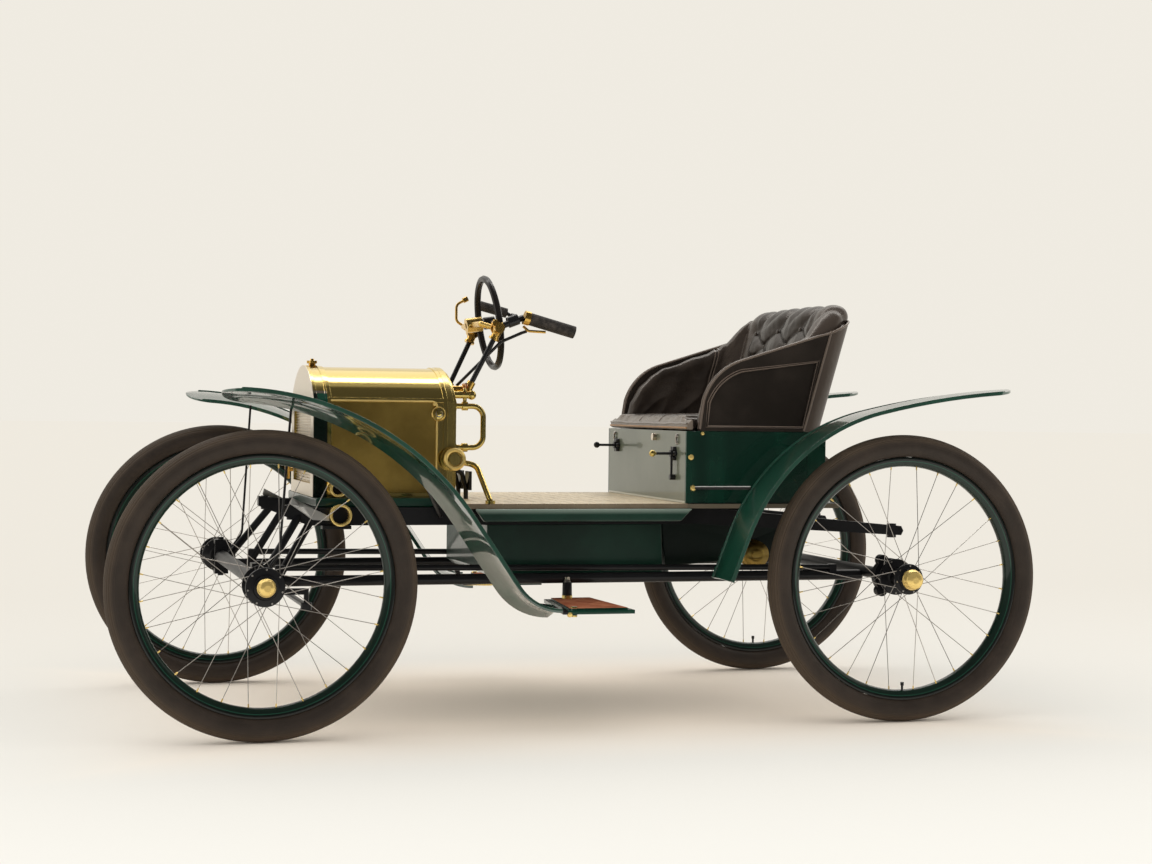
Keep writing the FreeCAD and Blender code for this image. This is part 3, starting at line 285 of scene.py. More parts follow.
def polished(name, bright, dark, rough=0.16, metallic=1.0):
    """Hand-polished metal: fine scratches, tarnish in the hollows, finger bloom."""
    finish = Finish(name, metallic=metallic)
    bloom = finish.cloud(9.0, 5.0)
    fine = finish.cloud(140.0, 3.0, place=finish.stretched(1, 6, 1))
    patch = finish.cloud(38.0, 6.0, 0.65)
    base = finish.blend(bloom.between(0.42, 0.72) * 0.3, bright, dark)
    finish.feed("Base Color", finish.blend(patch.between(0.6, 0.8) * 0.18, base, dark))
    finish.feed("Roughness", rough + bloom * 0.07 + fine * 0.04)
    finish.bump(bloom, 0.0003, 0.2)
    return finish


def leather(name, colour, wear=0.3, rough=0.21, coat=0.15):
    """Hide with a pebbled grain, creases that catch the light and rubbed high spots."""
    finish = Finish(name, specular_ior_level=0.3, specular_tint=(1.0, 0.86, 0.75),
                    coat_weight=coat, coat_roughness=0.14)
    pebble = finish.cells(420.0)
    crease = finish.cells(130.0, "DISTANCE_TO_EDGE")
    tint = finish.cloud(8.0, 5.0)
    rub = finish.worn_edges(0.5, 0.56) * wear
    base = finish.blend(tint.between(0.35, 0.7), tone(colour, 0.8), tone(colour, 1.5))
    finish.feed("Base Color", finish.blend(rub, base, tone(colour, 4.5)))
    finish.feed("Roughness", rough + tint * 0.1 + pebble * 0.05)
    wrinkle = finish.cloud(26.0, 6.0, 0.6)
    finish.bump(pebble * 0.2 + crease.between(0.0, 0.12) * 0.2 + wrinkle * 2.4, 0.0011, 0.35)
    return finish


def masked(finish, shades, metal=0.0):
    """Lay colours over a finish's own: each mask with its colour and its share of metal."""
    colour = Value(finish, finish.shader.inputs["Base Color"].links[0].from_socket)
    for mask, shade, plated in shades:
        colour = finish.blend(mask, colour, shade)
        metal = metal * (1 - mask) + mask * plated
    finish.feed("Base Color", colour)
    finish.feed("Metallic", metal)


def even_finishes(colours):
    """Finishes that are the same all over a piece."""
    green, black, brass, nickel = colours.enamel, colours.black, colours.brass, colours.nickel
    enamel("green_enamel", green)
    enamel("fender_enamel", tone(green, 1.7), 1.0, coat_ior=2.0, coat_roughness=0.03)
    enamel("ring_enamel", (0.011, 0.0085, 0.0075), 0.15, specular_ior_level=0.2)
    enamel("black_enamel", black, 0.175, specular_ior_level=0.2)
    enamel("axle_enamel", black, 0.0, specular_ior_level=0.12)
    polished("polished_brass", brass, tone(brass, 0.45))
    polished("cast_brass", (0.83, 0.52, 0.13), (0.45, 0.24, 0.05), 0.2)
    polished("bead_brass", (1.0, 0.73, 0.25), (0.78, 0.52, 0.15), 0.2, 0.7)
    polished("plated_gills", nickel, tone(nickel, 0.55), 0.28)
    polished("bright_steel", (0.50, 0.47, 0.44), (0.28, 0.26, 0.24), 0.25)
    # painted sheen: the piping's hide twice as pale as the seat's
    leather("welt_leather", tone(colours.leather, 2.0), 0.6, 0.084, 0.6)
    leather("tan_piping", (0.16, 0.085, 0.035), 0.3, 0.35)


def iron_finish(colours):
    """Bare grey casting, gritty all over."""
    iron = Finish("cast_iron", metallic=1.0)
    grit = iron.cloud(90.0, 6.0, 0.7)
    iron.feed("Base Color", iron.blend(grit.between(0.3, 0.7), (0.10, 0.095, 0.09), (0.17, 0.16, 0.15)))
    iron.feed("Roughness", 0.5 + grit * 0.25)
    iron.bump(grit, 0.001, 0.6)


def grip_finish(colours):
    """Dull brown-black rubber with a fine grain, paler where hands scuff it."""
    grip = Finish("grip_rubber")
    scuff = grip.cloud(60.0, 6.0, 0.7)
    shades = (0.020, 0.016, 0.013), (0.07, 0.055, 0.044)
    grip.feed("Base Color", grip.blend(scuff.between(0.4, 0.75), *shades))
    grip.feed("Roughness", 0.6 + scuff * 0.2)
    grip.bump(grip.cells(900.0), 0.0005, 0.6)


def parted_finishes(colours):
    """Finishes that change at a line: a painted highlight along an edge, a brass knob, a painted
    highlight along the top of a rod, a copper tap.
    """
    green, black, brass, nickel = colours.enamel, colours.black, colours.brass, colours.nickel
    sill = enamel("sill_enamel", green)
    _, across, up = sill.axes()
    # painted highlight: a pale band along the top of the outer sills
    painted_top_highlight = up.between(0.506, 0.519) * (across.size() > 0.340)
    masked(sill, [(painted_top_highlight, (0.15, 0.20, 0.165), 0.0)])

    case = enamel("case_enamel", tone(green, 0.3), 0.1)
    case.feed("Roughness", 0.3 + case.cloud(30.0) * 0.2)
    drum = case.axes()[1] > 0.2005
    masked(case, [(drum, tone(colours.dull_brass, 0.95), 1.0)])

    column = enamel("column_enamel", black, 0.3)
    along, _, up = column.axes()
    masked(column, [((along > 0.150) * (up > 0.955), (0.83, 0.56, 0.16), 1.0)])

    control = enamel("control_enamel", black, 0.2)
    along, across, up = control.axes()
    knob = (along > -0.229) * (along < 0.0) * (across > 0.2)
    button = (up > 0.686) * (along < 0.0)
    masked(control, [(knob, brass, 1.0), (button, nickel, 1.0)])

    stay = enamel("stay_enamel", black, 0.175)
    along, _, up = stay.axes()
    rod = (along < -0.29) * (along > -0.46) * (up < 0.59)
    # painted highlight: the upper half of the black rod pale and half metallic
    masked(stay, [(rod * (up + along * 0.024 > 0.5672), (0.85, 0.83, 0.78), 0.5)])

    nose = enamel("nose_enamel", black, 0.2)
    masked(nose, [(nose.axes()[2] > 0.480, (0.58, 0.57, 0.55), 1.0)])

    pipes = polished("pipe_brass", brass, tone(brass, 0.45))
    masked(pipes, [(pipes.axes()[2] > 0.815, (0.72, 0.36, 0.20), 1.0)], 1.0)


def wheel_finishes(colours):
    """Rims with a lighter line and painted shade in the seam where the tyre sits; sun-browned tyres with
    dusty ribs.
    """
    green = colours.enamel
    rim = enamel("rim_enamel", tone(green, 0.5))
    reach = rim.wheel_reach()
    line = (reach > 0.2895) * (reach < 0.2908)
    # painted shade: the rim's outer edge nearly black, in the seam against the tyre
    masked(rim, [(reach > 0.2925, tone(green, 0.12), 0.0), (line, tone(green, 2.2), 0.0)])

    rubber = Finish("aged_rubber", specular_ior_level=0.35)
    dust = rubber.cloud(14.0, 7.0, 0.65)
    reach = rubber.wheel_reach()
    wear_and_sheen = reach.between(0.332, 0.345) * (0.7 + (reach * 1900).sine() * 0.3)
    tan = rubber.blend(dust.between(0.35, 0.75), colours.rubber, tone(colours.rubber, 1.5))
    brown = rubber.blend(wear_and_sheen * (0.35 + dust), tan, (0.075, 0.050, 0.030))
    rubbed = rubber.worn_edges(0.505, 0.54) * 0.35
    rubber.feed("Base Color", rubber.blend(rubbed, brown, (0.10, 0.07, 0.045)))
    rubber.feed("Roughness", 0.48 + dust * 0.2 + wear_and_sheen * 0.15)
    rubber.bump(rubber.cloud(260.0, 4.0, 0.7) + dust, 0.0004, 0.4)


def bonnet_finish(colours):
    """Rubbed olive side panels inside bright beads, and a polished top."""
    brass, dull = colours.brass, colours.dull_brass
    bonnet = Finish("bonnet_brass", metallic=1.0)
    along, across, up = bonnet.axes()
    skin_low, skin_high = low("bonnet"), high("bonnet")
    edge = 0.011
    panel = (along > 0.3265) * (along < skin_high.x - edge)
    panel = panel * (up > skin_low.z + edge) * (up < SPRING_LINE - 0.005)
    panel = panel * (across.size() > skin_high.y - 0.022)
    mottle = bonnet.cloud(7.0, 6.0, 0.62)
    rub = bonnet.cloud(70.0, 5.0, place=bonnet.stretched(1, 1, 5))
    bright = bonnet.blend(mottle.between(0.4, 0.75) * 0.15, tone(brass, 1.08), tone(brass, 0.75))
    wear_and_sheen = bonnet.blend(mottle.between(0.3, 0.72), tone(dull, 0.85), tone(dull, 1.3))
    bonnet.feed("Base Color", bonnet.blend(panel, bright, wear_and_sheen))
    bonnet.feed("Roughness", 0.075 + panel * 0.28 + mottle * 0.04 + rub * 0.02)
    bonnet.bump(mottle * 2.0 + rub * panel, 0.0003, 0.25)


def radiator_finish(colours):
    """A plated face, a brass band over the top, green pillars below it, darker at their front and low
    down as painted shade.
    """
    green, brass, nickel = colours.enamel, colours.brass, colours.nickel
    shell = Finish("radiator_shell")
    along, across, up = shell.axes()
    aside = across.size() > 0.150
    front = high("radiator").x
    face = along > front - 0.0015
    pillar_top = SPRING_LINE + 0.0145
    lip = (up > pillar_top) * (up < pillar_top + 0.006) * aside
    pillar = (up < pillar_top) * (1 - face) * aside
    # painted shade: the pillars darkened along their front strip and below
    shade = pillar * (along > front - 0.011).most(up < SPRING_LINE - 0.045)
    veil = shell.cloud(12.0, 6.0)
    shell.feed("Base Color", shell.blend(veil.between(0.35, 0.75) * 0.3, brass, tone(brass, 0.8)))
    shell.feed("Roughness", 0.13 + face * 0.14 + veil * 0.06)
    shell.bump(veil, 0.0004, 0.2)
    masked(shell, [
        (1 - pillar, brass, 1.0), (face, nickel, 1.0), (lip, tone(nickel, 1.15), 1.0),
        (pillar, tone(green, 1.3), 0.0), (shade, tone(green, 0.15), 0.0),
    ])


def seat_finishes(colours):
    """Hide that is paler round the back corners and on the cushion's front roll, with painted sheen on
    the arms and the wings.
    """
    hide = colours.leather
    lining = leather("seat_leather", tone(hide, 0.85))
    along, across, up = lining.axes()
    # painted sheen: the arms and the back's corners paler in patches, the wings paler still
    aside = across.size().between(0.19, 0.235)
    wing = aside * (along + up * TUB_LEAN).between(-0.315, -0.355)
    wear_and_sheen = lining.blend(lining.cloud(11.0, 5.0).between(0.3, 0.7), tone(hide, 1.2), tone(hide, 2.2))
    masked(lining, [(aside, wear_and_sheen, 0.0), (wing, tone(hide, 2.6), 0.0)])

    panel = leather("panel_leather", tone(hide, 0.75), 0.1, 0.35)
    along, _, up = panel.axes()
    band = along + up * TUB_LEAN < TUB_LEAN * TUB_FOOT - 0.594
    masked(panel, [(band, tone(hide, 3.0), 0.0)])

    cushion = leather("cushion_leather", tone(hide, 1.5), 0.8)
    roll = cushion.axes()[0].between(-0.322, -0.290)
    patchy = (0.55 + cushion.cloud(40.0, 5.0) * 0.8).least(1.0)
    masked(cushion, [(roll * patchy, (0.155, 0.125, 0.098), 0.0)])


def floor_finish(colours):
    """Slats of pale wood with the grain across the car, dirty sides and dark ends."""
    timber = colours.wood
    wood = Finish("slatted_floor", specular_ior_level=0.15)
    along, across, up = wood.axes()
    long_grain = wood.cloud(30.0, 8.0, 0.6, place=wood.stretched(6, 0.5, 2))
    blotch = wood.cloud(7.0, 5.0)
    pale = wood.blend(long_grain.between(0.35, 0.68), timber, tone(timber, 0.68))
    trodden = wood.blend(blotch.between(0.45, 0.75) * 0.5, pale, tone(timber, 0.45))
    rough_edge = across.size().between(0.334, 0.342) * (0.4 + blotch).least(1.0)
    side = wood.blend(rough_edge, trodden, (0.10, 0.055, 0.025))
    side = wood.blend(along < -0.283, side, (0.01, 0.01, 0.01))
    groove = up < high("floor").z - 0.0008
    wood.feed("Base Color", wood.blend(groove * 0.7, side, tone(timber, 0.2)))
    wood.feed("Roughness", 0.32 + long_grain * 0.2)
    wood.bump(long_grain, 0.0008, 0.6)


def step_finish(colours):
    """A green plate with a brown pad, and a black peg on a brass foot with a plated cap."""
    black, brass = colours.black, colours.brass
    step = enamel("step_enamel", colours.enamel, specular_ior_level=0.05)
    along, _, height = step.axes()
    up = height - low("steps").z
    pad = (up > 0.0226) * (up < 0.0237)
    wear_and_sheen = step.cloud(20.0, 6.0, 0.65)
    brown = step.blend(wear_and_sheen.between(0.35, 0.7), (0.25, 0.075, 0.038), (0.42, 0.16, 0.08))
    step.bump(step.cells(600.0) * pad, 0.0008, 0.5)
    step.feed("Roughness", 0.25 + pad * 0.65)
    step.feed("Coat Weight", 0.5 - pad * 0.5)
    post = up > 0.0237
    masked(step, [
        (pad, brown, 0.0), (post, black, 0.0), (post * (up < 0.0330), brass, 1.0),
        (height > high("steps").z - 0.008, colours.nickel, 1.0),
        (along > 0.079, black, 0.0), (up < 0.0065, brass, 1.0),
    ])


def box_finish(colours):
    """A grey-green satin front on the green box, with a pale foot and dark edges, and painted
    reflections in darker upright streaks.
    """
    green = colours.enamel
    box = enamel("box_enamel", green)
    along, across, up = box.axes()
    aside = across.size()
    face = along > high("seat_box").x - 0.0012
    foot = face * (up < low("seat_box").z + 0.006)
    drift = box.cloud(4.0)
    satin = box.blend(drift.between(0.3, 0.75), (0.140, 0.156, 0.110), (0.108, 0.124, 0.086))
    box.feed("Roughness", 0.18 + face * 0.16 + drift * 0.1)
    # painted reflection: darker upright streaks in the green
    painted_reflection_streak = box.cloud(9.0, 3.0, place=box.stretched(1, 1, 0.06)).between(0.38, 0.62)
    masked(box, [
        (painted_reflection_streak * 0.6, tone(green, 0.35), 0.0), (face, satin, 0.0),
        (foot, (0.50, 0.50, 0.42), 0.0), (face * (aside > 0.332), tone(green, 1.5), 0.0),
        (face * (aside > 0.330) * (aside < 0.332), tone(green, 0.1), 0.0),
    ])


def build_finishes(colours):
    for make in (even_finishes, iron_finish, grip_finish, parted_finishes, wheel_finishes,
                 bonnet_finish, radiator_finish, seat_finishes, floor_finish, step_finish,
                 box_finish):
        make(colours)


# ---------------------------------------------------------------- shapes


def as_object(name, shape, *finishes):
    """Turn a bmesh into an object of the scene."""
    mesh = bpy.data.meshes.new(name)
    shape.to_mesh(mesh)
    shape.free()
    for finish in finishes:
        mesh.materials.append(FINISHES[finish].material)
    made = bpy.data.objects.new(name, mesh)
    bpy.context.scene.collection.objects.link(made)
    return made


def as_piece(name, shape, finishes, body="chassis", stands_for=(), sharp=32.0, weighted=False):
    """Turn a bmesh into a smooth piece of a material slot that rides on a body."""
    piece = as_object(name, shape, *finishes)
    for polygon in piece.data.polygons:
        polygon.use_smooth = True
    piece.data.set_sharp_from_angle(angle=math.radians(sharp))
    if weighted:
        piece.modifiers.new("Even shading", "WEIGHTED_NORMAL").keep_sharp = True
    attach(piece, body)
    if stands_for:
        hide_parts(*stands_for)
    return piece


def spun(shape, section, steps, closed=True, material=0):
    """Spin a section, given as (radius, place along Y), about the Y axis."""
    before = len(shape.faces)
    points = [shape.verts.new((radius, along, 0)) for radius, along in section]
    pairs = zip(points, points[1:] + points[:1] if closed else points[1:])
    edges = [shape.edges.new(pair) for pair in pairs]
    bmesh.ops.spin(shape, geom=points + edges, cent=(0, 0, 0), axis=(0, 1, 0), angle=math.tau,
                   steps=steps, use_merge=True)
    shape.verts.ensure_lookup_table()
    shape.faces.ensure_lookup_table()
    made = shape.faces[before:]
    bmesh.ops.recalc_face_normals(shape, faces=made)
    for face in made:
        face.material_index = material


def bar(shape, start, end, radius, far_radius=None, sides=8, material=0):
    """A round bar between two points."""
    start, end = Vector(start), Vector(end)
    run = end - start
    turn = Vector((0, 0, 1)).rotation_difference(run).to_matrix().to_4x4()
    made = bmesh.ops.create_cone(
        shape, cap_ends=True, segments=sides, radius1=radius,
        radius2=radius if far_radius is None else far_radius, depth=run.length,
        matrix=Matrix.Translation((start + end) / 2) @ turn,
    )
    for face in {face for point in made["verts"] for face in point.link_faces}:
        face.material_index = material


def at_corner(shape, corner, side):
    """Stand a wheel's shape at its corner with its outer face to that side."""
    turn = Matrix.Rotation(0.0 if side > 0 else math.pi, 4, "Z")
    place = Matrix.Translation(middle(f"{corner}_tyre")) @ turn
    bmesh.ops.transform(shape, matrix=place, verts=shape.verts)


# ---------------------------------------------------------------- wheels


def tyre_section(node, rib):
    """A round tyre with ribs on its tread and fine lines on its walls."""
    crown = (high(node).z - low(node).z) / 2
    half_width = (high(node).y - low(node).y) / 2
    rise = 0.029
    section = []
    count = 150
    for step in range(count + 1):
        turn = -150 + 300 * step / count
        place = abs(turn)
        groove = 0.0
        if place < 50:
            groove = rib * max(math.cos(math.radians(place * 36)), 0.0) ** 2
        elif place < 56:
            groove = rib * 0.9
        for line in (74, 82, 118):
            groove += rib * 0.35 * math.exp(-((place - line) / 1.6) ** 2)
        angle = math.radians(turn)
        radius = crown - rise + (rise - groove) * math.cos(angle)
        section.append((radius, (half_width - groove) * math.sin(angle)))
    return section


def rim_section(node):
    outer = (high(node).z - low(node).z) / 2
    wide = (high(node).y - low(node).y) / 2
    half = [
        # radius inward of the rim's edge, share of its half width
        (0.0210, 0.0),
        (0.0205, 0.32),
        (0.0175, 0.58),
        (0.0120, 0.80),
        (0.0060, 0.93),
        (0.0010, 1.0),
        (-0.0022, 0.97),
        (-0.0030, 0.88),
        (-0.0012, 0.80),
    ]
    near = [(outer - drop, wide * share) for drop, share in half]
    far = [(outer - drop, -wide * share) for drop, share in reversed(half[1:])]
    return near + far


FITTING_FINISHES = ["black_enamel", "bright_steel", "bead_brass"]
BLACK, STEEL, BRASS = range(3)
# radius at which the spokes meet the rim
SPOKE_END = 0.2765
HUBS = {
    # end of the car: radius of the hub's outer flange, radius of its cap
    1: (0.045, 0.020),
    -1: (0.038, 0.024),
}


def build_hub(shape, end):
    """Barrel and flanges in black, a stepped brass cap over the stub."""
    flange, cap = HUBS[end]
    reach = 0.079
    spun(shape, [
        (0.0115, -0.050), (0.024, -0.050), (0.027, -0.047), (0.0435, -0.0405), (0.045, -0.039),
        (0.045, -0.0345), (0.0435, -0.033), (0.026, -0.031), (0.022, -0.026), (0.021, 0.0),
        (0.022, 0.026), (flange - 0.012, 0.0305), (flange - 0.001, 0.0315), (flange, 0.033),
        (flange, 0.0375), (flange - 0.001, 0.039), (0.030, 0.0405), (0.027, 0.0445),
        (0.0265, 0.052), (0.0245, 0.0535), (0.0115, 0.0535),
    ], 48, material=BLACK)
    spun(shape, [
        (0.012, 0.050), (cap + 0.0005, 0.050), (cap + 0.0015, 0.0515), (cap + 0.0015, 0.057),
        (cap, 0.059), (cap - 0.001, 0.070), (cap - 0.003, 0.0745), (cap - 0.007, 0.077),
        (0.008, 0.0785), (0.0075, reach), (0.0003, reach),
    ], 48, closed=False, material=BRASS)


def on_wheel(radius, turn, along):
    return Vector((radius * math.cos(turn), along, -radius * math.sin(turn)))


def build_spokes(shape, end, sizes):
    """Twenty-eight spokes, crossed, each with its head and its brass nipple."""
    flanges = [
        # place of the flange, its hole circle, lead in spoke pitches
        (0.035, HUBS[end][0] - 0.005, 0.0),
        (-0.0365, 0.040, 0.5),
    ]
    for (along, hole, lead), lean, number in product(flanges, (1, -1), range(7)):
        aside = lean * 0.0016
        centre = math.tau * (number + lead) / 7
        start = on_wheel(hole, centre - lean * math.radians(42), along + aside)
        rim_side = math.copysign(0.005, along) + aside
        far = on_wheel(SPOKE_END, centre + lean * math.radians(6.4), rim_side)
        bar(shape, start, far, sizes.spoke, material=STEEL)
        head = Vector((0, math.copysign(0.0042, lean), 0))
        bar(shape, start - head * 0.2, start + head, 0.0028, 0.0022, material=STEEL)
        inward = (start - far).normalized()
        bar(shape, far - inward * 0.003, far + inward * 0.007, sizes.nipple, sizes.nipple * 0.7,
            material=BRASS)


def build_valve(shape):
    """The tyre's valve stem and its cap, at the foot of the rim."""
    for start, end, radius in ((-0.279, -0.262, 0.003), (-0.266, -0.258, 0.0046)):
        bar(shape, (0, 0.006, start), (0, 0.006, end), radius, material=BLACK)


class CAR_OT_wheels(bpy.types.Operator):
    """Make the four wire wheels with their tyres"""

    bl_idname = "car.wheels"
    bl_label = "Wheels"

    def execute(self, context):
        sizes = context.scene.wheel_sizes
        for corner, (end, side) in CORNERS.items():
            tyre, rim, wheel = bmesh.new(), bmesh.new(), bmesh.new()
            spun(tyre, tyre_section(f"{corner}_tyre", sizes.rib), sizes.steps)
            spun(rim, rim_section(f"{corner}_rim"), 96)
            build_hub(wheel, end)
            build_spokes(wheel, end, sizes)
            if end < 0:
                build_valve(wheel)
            made = [
                # shape, its name, name of the node, finishes, slot, sharpest angle left smooth
                (tyre, "ribbed_tyre", "tyre", ["aged_rubber"], "tyre", 60.0),
                (rim, "rolled_rim", "rim", ["rim_enamel"], "rim_green", 40.0),
                (wheel, "wire_wheel", "spokes", FITTING_FINISHES, "wheel_steel", 35.0),
            ]
            for shape, name, node, finishes, slot, sharp in made:
                at_corner(shape, corner, side)
                as_piece(f"{corner}_{name}", shape, finishes, f"{corner}_wheel",
                         [f"{corner}_{node}"], sharp)
        return {"FINISHED"}


# ---------------------------------------------------------------- metalwork

PANELS = {
    # node: finish, material slot, width of its rounded edges
    "frame": ("black_enamel", "black_enamel", 0.0012),
    "front_axle": ("axle_enamel", "black_enamel", 0.0012),
    "rear_axle": ("axle_enamel", "black_enamel", 0.0012),
    "left_knuckle": ("black_enamel", "black_enamel", 0.001),
    "right_knuckle": ("black_enamel", "black_enamel", 0.001),
    "tie_rod": ("black_enamel", "black_enamel", 0.0008),
    "perch_tubes": ("black_enamel", "black_enamel", 0.001),
    "undertray": ("green_enamel", "green_enamel", 0.004),
    "gear_case": ("case_enamel", "dark_case", 0.003),
    "bonnet": ("bonnet_brass", "brass", 0.0012),
    "radiator": ("radiator_shell", "brass", 0.0012),
    "radiator_core": ("plated_gills", "core_metal", 0.0003),
    "radiator_fittings": ("cast_brass", "brass", 0.0008),
    "engine_block": ("cast_iron", "iron", 0.004),
    "dash": ("polished_brass", "brass", 0.0015),
    "dash_pipes": ("pipe_brass", "brass", 0.0006),
    "nose_brackets": ("nose_enamel", "bright_steel", 0.001),
    "floor": ("slatted_floor", "floor_mat", 0.0005),
    "sills": ("sill_enamel", "green_enamel", 0.004),
    "seat_box": ("box_enamel", "green_enamel", 0.002),
    "controls": ("control_enamel", "black_enamel", 0.0006),
    "front_fenders": ("fender_enamel", "green_enamel", 0.001),
    "rear_fenders": ("fender_enamel", "green_enamel", 0.001),
    "steps": ("step_enamel", "green_enamel", 0.001),
    "fender_stays": ("stay_enamel", "black_enamel", 0.0006),
    "steering_wheel": ("ring_enamel", "black_enamel", 0.001),
    "steering_column": ("column_enamel", "black_enamel", 0.0008),
    "steering_castings": ("cast_brass", "brass", 0.0008),
    "hand_grips": ("grip_rubber", "grip_rubber", 0.0025),
    "seat_tub": ("panel_leather", "leather", 0.003),
}
STEERED = {
    # node: body that it rides on instead of the chassis
    "left_knuckle": "left_steer_body",
    "right_knuckle": "right_steer_body",
    "tie_rod": "tie_bar",
    "steering_wheel": "handwheel",
}


def dressed(node, finish, slot, edge, body):
    """The node's own form with its flats joined and its hard edges rounded."""
    shape = bmesh.new()
    shape.from_mesh(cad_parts[node].data)
    bmesh.ops.remove_doubles(shape, verts=shape.verts, dist=WELD)
    bmesh.ops.join_triangles(
        shape, faces=shape.faces, angle_face_threshold=math.radians(0.5),
        angle_shape_threshold=math.pi,
    )
    hard = [
        corner for corner in shape.edges
        if len(corner.link_faces) == 2
        and corner.calc_face_angle(0.0) > math.radians(34)
        and corner.calc_length() > edge * 1.5
    ]
    bmesh.ops.bevel(
        shape, geom=hard, offset=edge, segments=2, profile=0.5, affect="EDGES",
        clamp_overlap=True, material=-1,
    )
    return as_piece(f"{node}_finished", shape, [finish], body, [node], 38.0, weighted=True)


class CAR_OT_metalwork(bpy.types.Operator):
    """Finish the frame, axles, panels, bonnet and brasswork"""

    bl_idname = "car.metalwork"
    bl_label = "Metalwork"

    def execute(self, context):
        for node, settings in PANELS.items():
            dressed(node, *settings, STEERED.get(node, "chassis"))
        return {"FINISHED"}


FITTINGS = [
    # axis (0 along, 1 across, 2 up), its foot, length, radius there and at its end, finish
    (1, (0.321, 0.19, 0.75), 0.006, 0.0185, 0.018, BRASS),
    (1, (0.321, 0.196, 0.75), 0.005, 0.018, 0.013, BRASS),
    (1, (0.321, 0.2, 0.75), 0.0045, 0.0105, 0.008, STEEL),
    (1, (0.3175, 0.204, 0.75), 0.0012, 0.0018, 0.0018, BLACK),
    (1, (0.3245, 0.204, 0.75), 0.0012, 0.0018, 0.0018, BLACK),
    (1, (0.332, 0.19, 0.774), 0.009, 0.0052, 0.0036, BRASS),
    (1, (-0.2922, 0.339, 0.6484), 0.0055, 0.0078, 0.0058, BRASS),
    (1, (-0.2987, 0.339, 0.5712), 0.0055, 0.0078, 0.0058, BRASS),
    (1, (-0.3221, 0.339, 0.7081), 0.005, 0.005, 0.0035, BRASS),
    (0, (-0.281, 0.271, 0.7014), 0.006, 0.0055, 0.004, STEEL),
    (0, (-0.281, 0.271, 0.6835), 0.006, 0.005, 0.0035, STEEL),
    (2, (-0.276, 0.271, 0.7014), -0.0179, 0.0026, 0.0026, STEEL),
    (2, (0.014, 0.3, 0.2965), 0.0405, 0.0125, 0.0115, BLACK),
    (2, (0.014, 0.3, 0.2905), 0.006, 0.014, 0.0105, BRASS),
    (2, (0.014, 0.3, 0.337), 0.0085, 0.01, 0.006, STEEL),
    (1, (0.074, 0.541, 0.2815), 0.0055, 0.007, 0.005, BRASS),
]
INTAKES = [
    # place along, start, end, height, outer radius
    (0.580, 0.270, 0.306, 0.504, 0.024),
    (0.576, 0.1925, 0.238, 0.565, 0.018),
]
MOUTH = [
    # how far the lip swells beyond the tube, how far back from its end
    (0.0, 0.006), (0.0022, 0.005), (0.0030, 0.003), (0.0022, 0.0005), (0.0, -0.0003),
    (-0.0032, 0.0006), (-0.004, 0.003),
]


class CAR_OT_fittings(bpy.types.Operator):
    """Add the intake tubes, the bonnet's beads and catches and the small screws"""

    bl_idname = "car.fittings"
    bl_label = "Fittings"

    def execute(self, context):
        self.open_tubes()
        self.screw_on()
        self.bead_bonnet()
        return {"FINISHED"}

    def open_tubes(self):
        """Brass tubes with a rolled mouth, dark inside, and the ring round the drum."""
        shape = bmesh.new()
        mesh = bpy.data.meshes.new("open_tube")
        for along, start, end, height, outer in INTAKES:
            tube = bmesh.new()
            mouth = [(outer + swell, end - back) for swell, back in MOUTH]
            spun(tube, [(outer - 0.003, start), (outer, start), *mouth], 48)
            inside = start + 0.010
            spun(tube, [(outer - 0.0029, inside), (0.0003, inside)], 48, closed=False, material=1)
            bmesh.ops.translate(tube, vec=(along, 0, height), verts=tube.verts)
            tube.to_mesh(mesh)
            tube.free()
            shape.from_mesh(mesh)
        bpy.data.meshes.remove(mesh)
        as_piece("open_intake_tubes", shape, ["bead_brass", "black_enamel"], "chassis",
                 ["intake_tubes"], 40.0)
        ring = bmesh.new()
        spun(ring, [
            (0.0175, 0.222), (0.0270, 0.222), (0.0285, 0.226), (0.0272, 0.2325),
            (0.0230, 0.2350), (0.0188, 0.2330), (0.0175, 0.2270),
        ], 48)
        bmesh.ops.translate(ring, vec=(0.286, 0, 0.638), verts=ring.verts)
        as_piece("drum_ring", ring, ["bead_brass"], sharp=50.0)

    def screw_on(self):
        shape = bmesh.new()
        for (axis, foot, length, radius, far_radius, finish), side in product(FITTINGS, (1, -1)):
            across = Matrix.Diagonal((1, side, 1))
            end = Vector(foot)
            end[axis] += length
            bar(shape, across @ Vector(foot), across @ end, radius, far_radius, 24, finish)
        bmesh.ops.bevel(
            shape, geom=[edge for edge in shape.edges if edge.calc_face_angle(0) > 0.7],
            offset=0.0006, segments=2, profile=0.5, affect="EDGES", clamp_overlap=True, material=-1,
        )
        as_piece("small_fittings", shape, FITTING_FINISHES, sharp=50.0)

    def bead_bonnet(self):
        """A bright bead round each side panel, its upper rear corner rounded."""
        shape = bmesh.new()
        top, rear = SPRING_LINE - 0.0022, 0.3245
        corner = arc_points((rear + 0.014, top), (rear, top - 0.014), 0.014)
        line = [(0.590, top), *corner, (rear, 0.552)]
        for side in (1, -1):
            swept(shape, [(x, 0.1925 * side, z) for x, z in line], 0.0027)
        as_tubes("bonnet_beads", shape, ["bead_brass"])


# ---------------------------------------------------------------- seat

# rows of buttons, height of the first, place along the U of its last button
ROWS = 5
TOP_ROW = 0.990
BUTTON_START = 0.1195
# how far the pleats lean aside for each metre up, and the height that they lean from
PLEAT_SLANT = 0.2
PLEAT_LEVEL = 0.943
# places along the U from the middle of the back: its corner and the end of its arm
CORNER_START = 0.225
CORNER_RADIUS = 0.062
CORNER_END = CORNER_START + CORNER_RADIUS * math.pi / 2
ARM_END = CORNER_END + 0.213
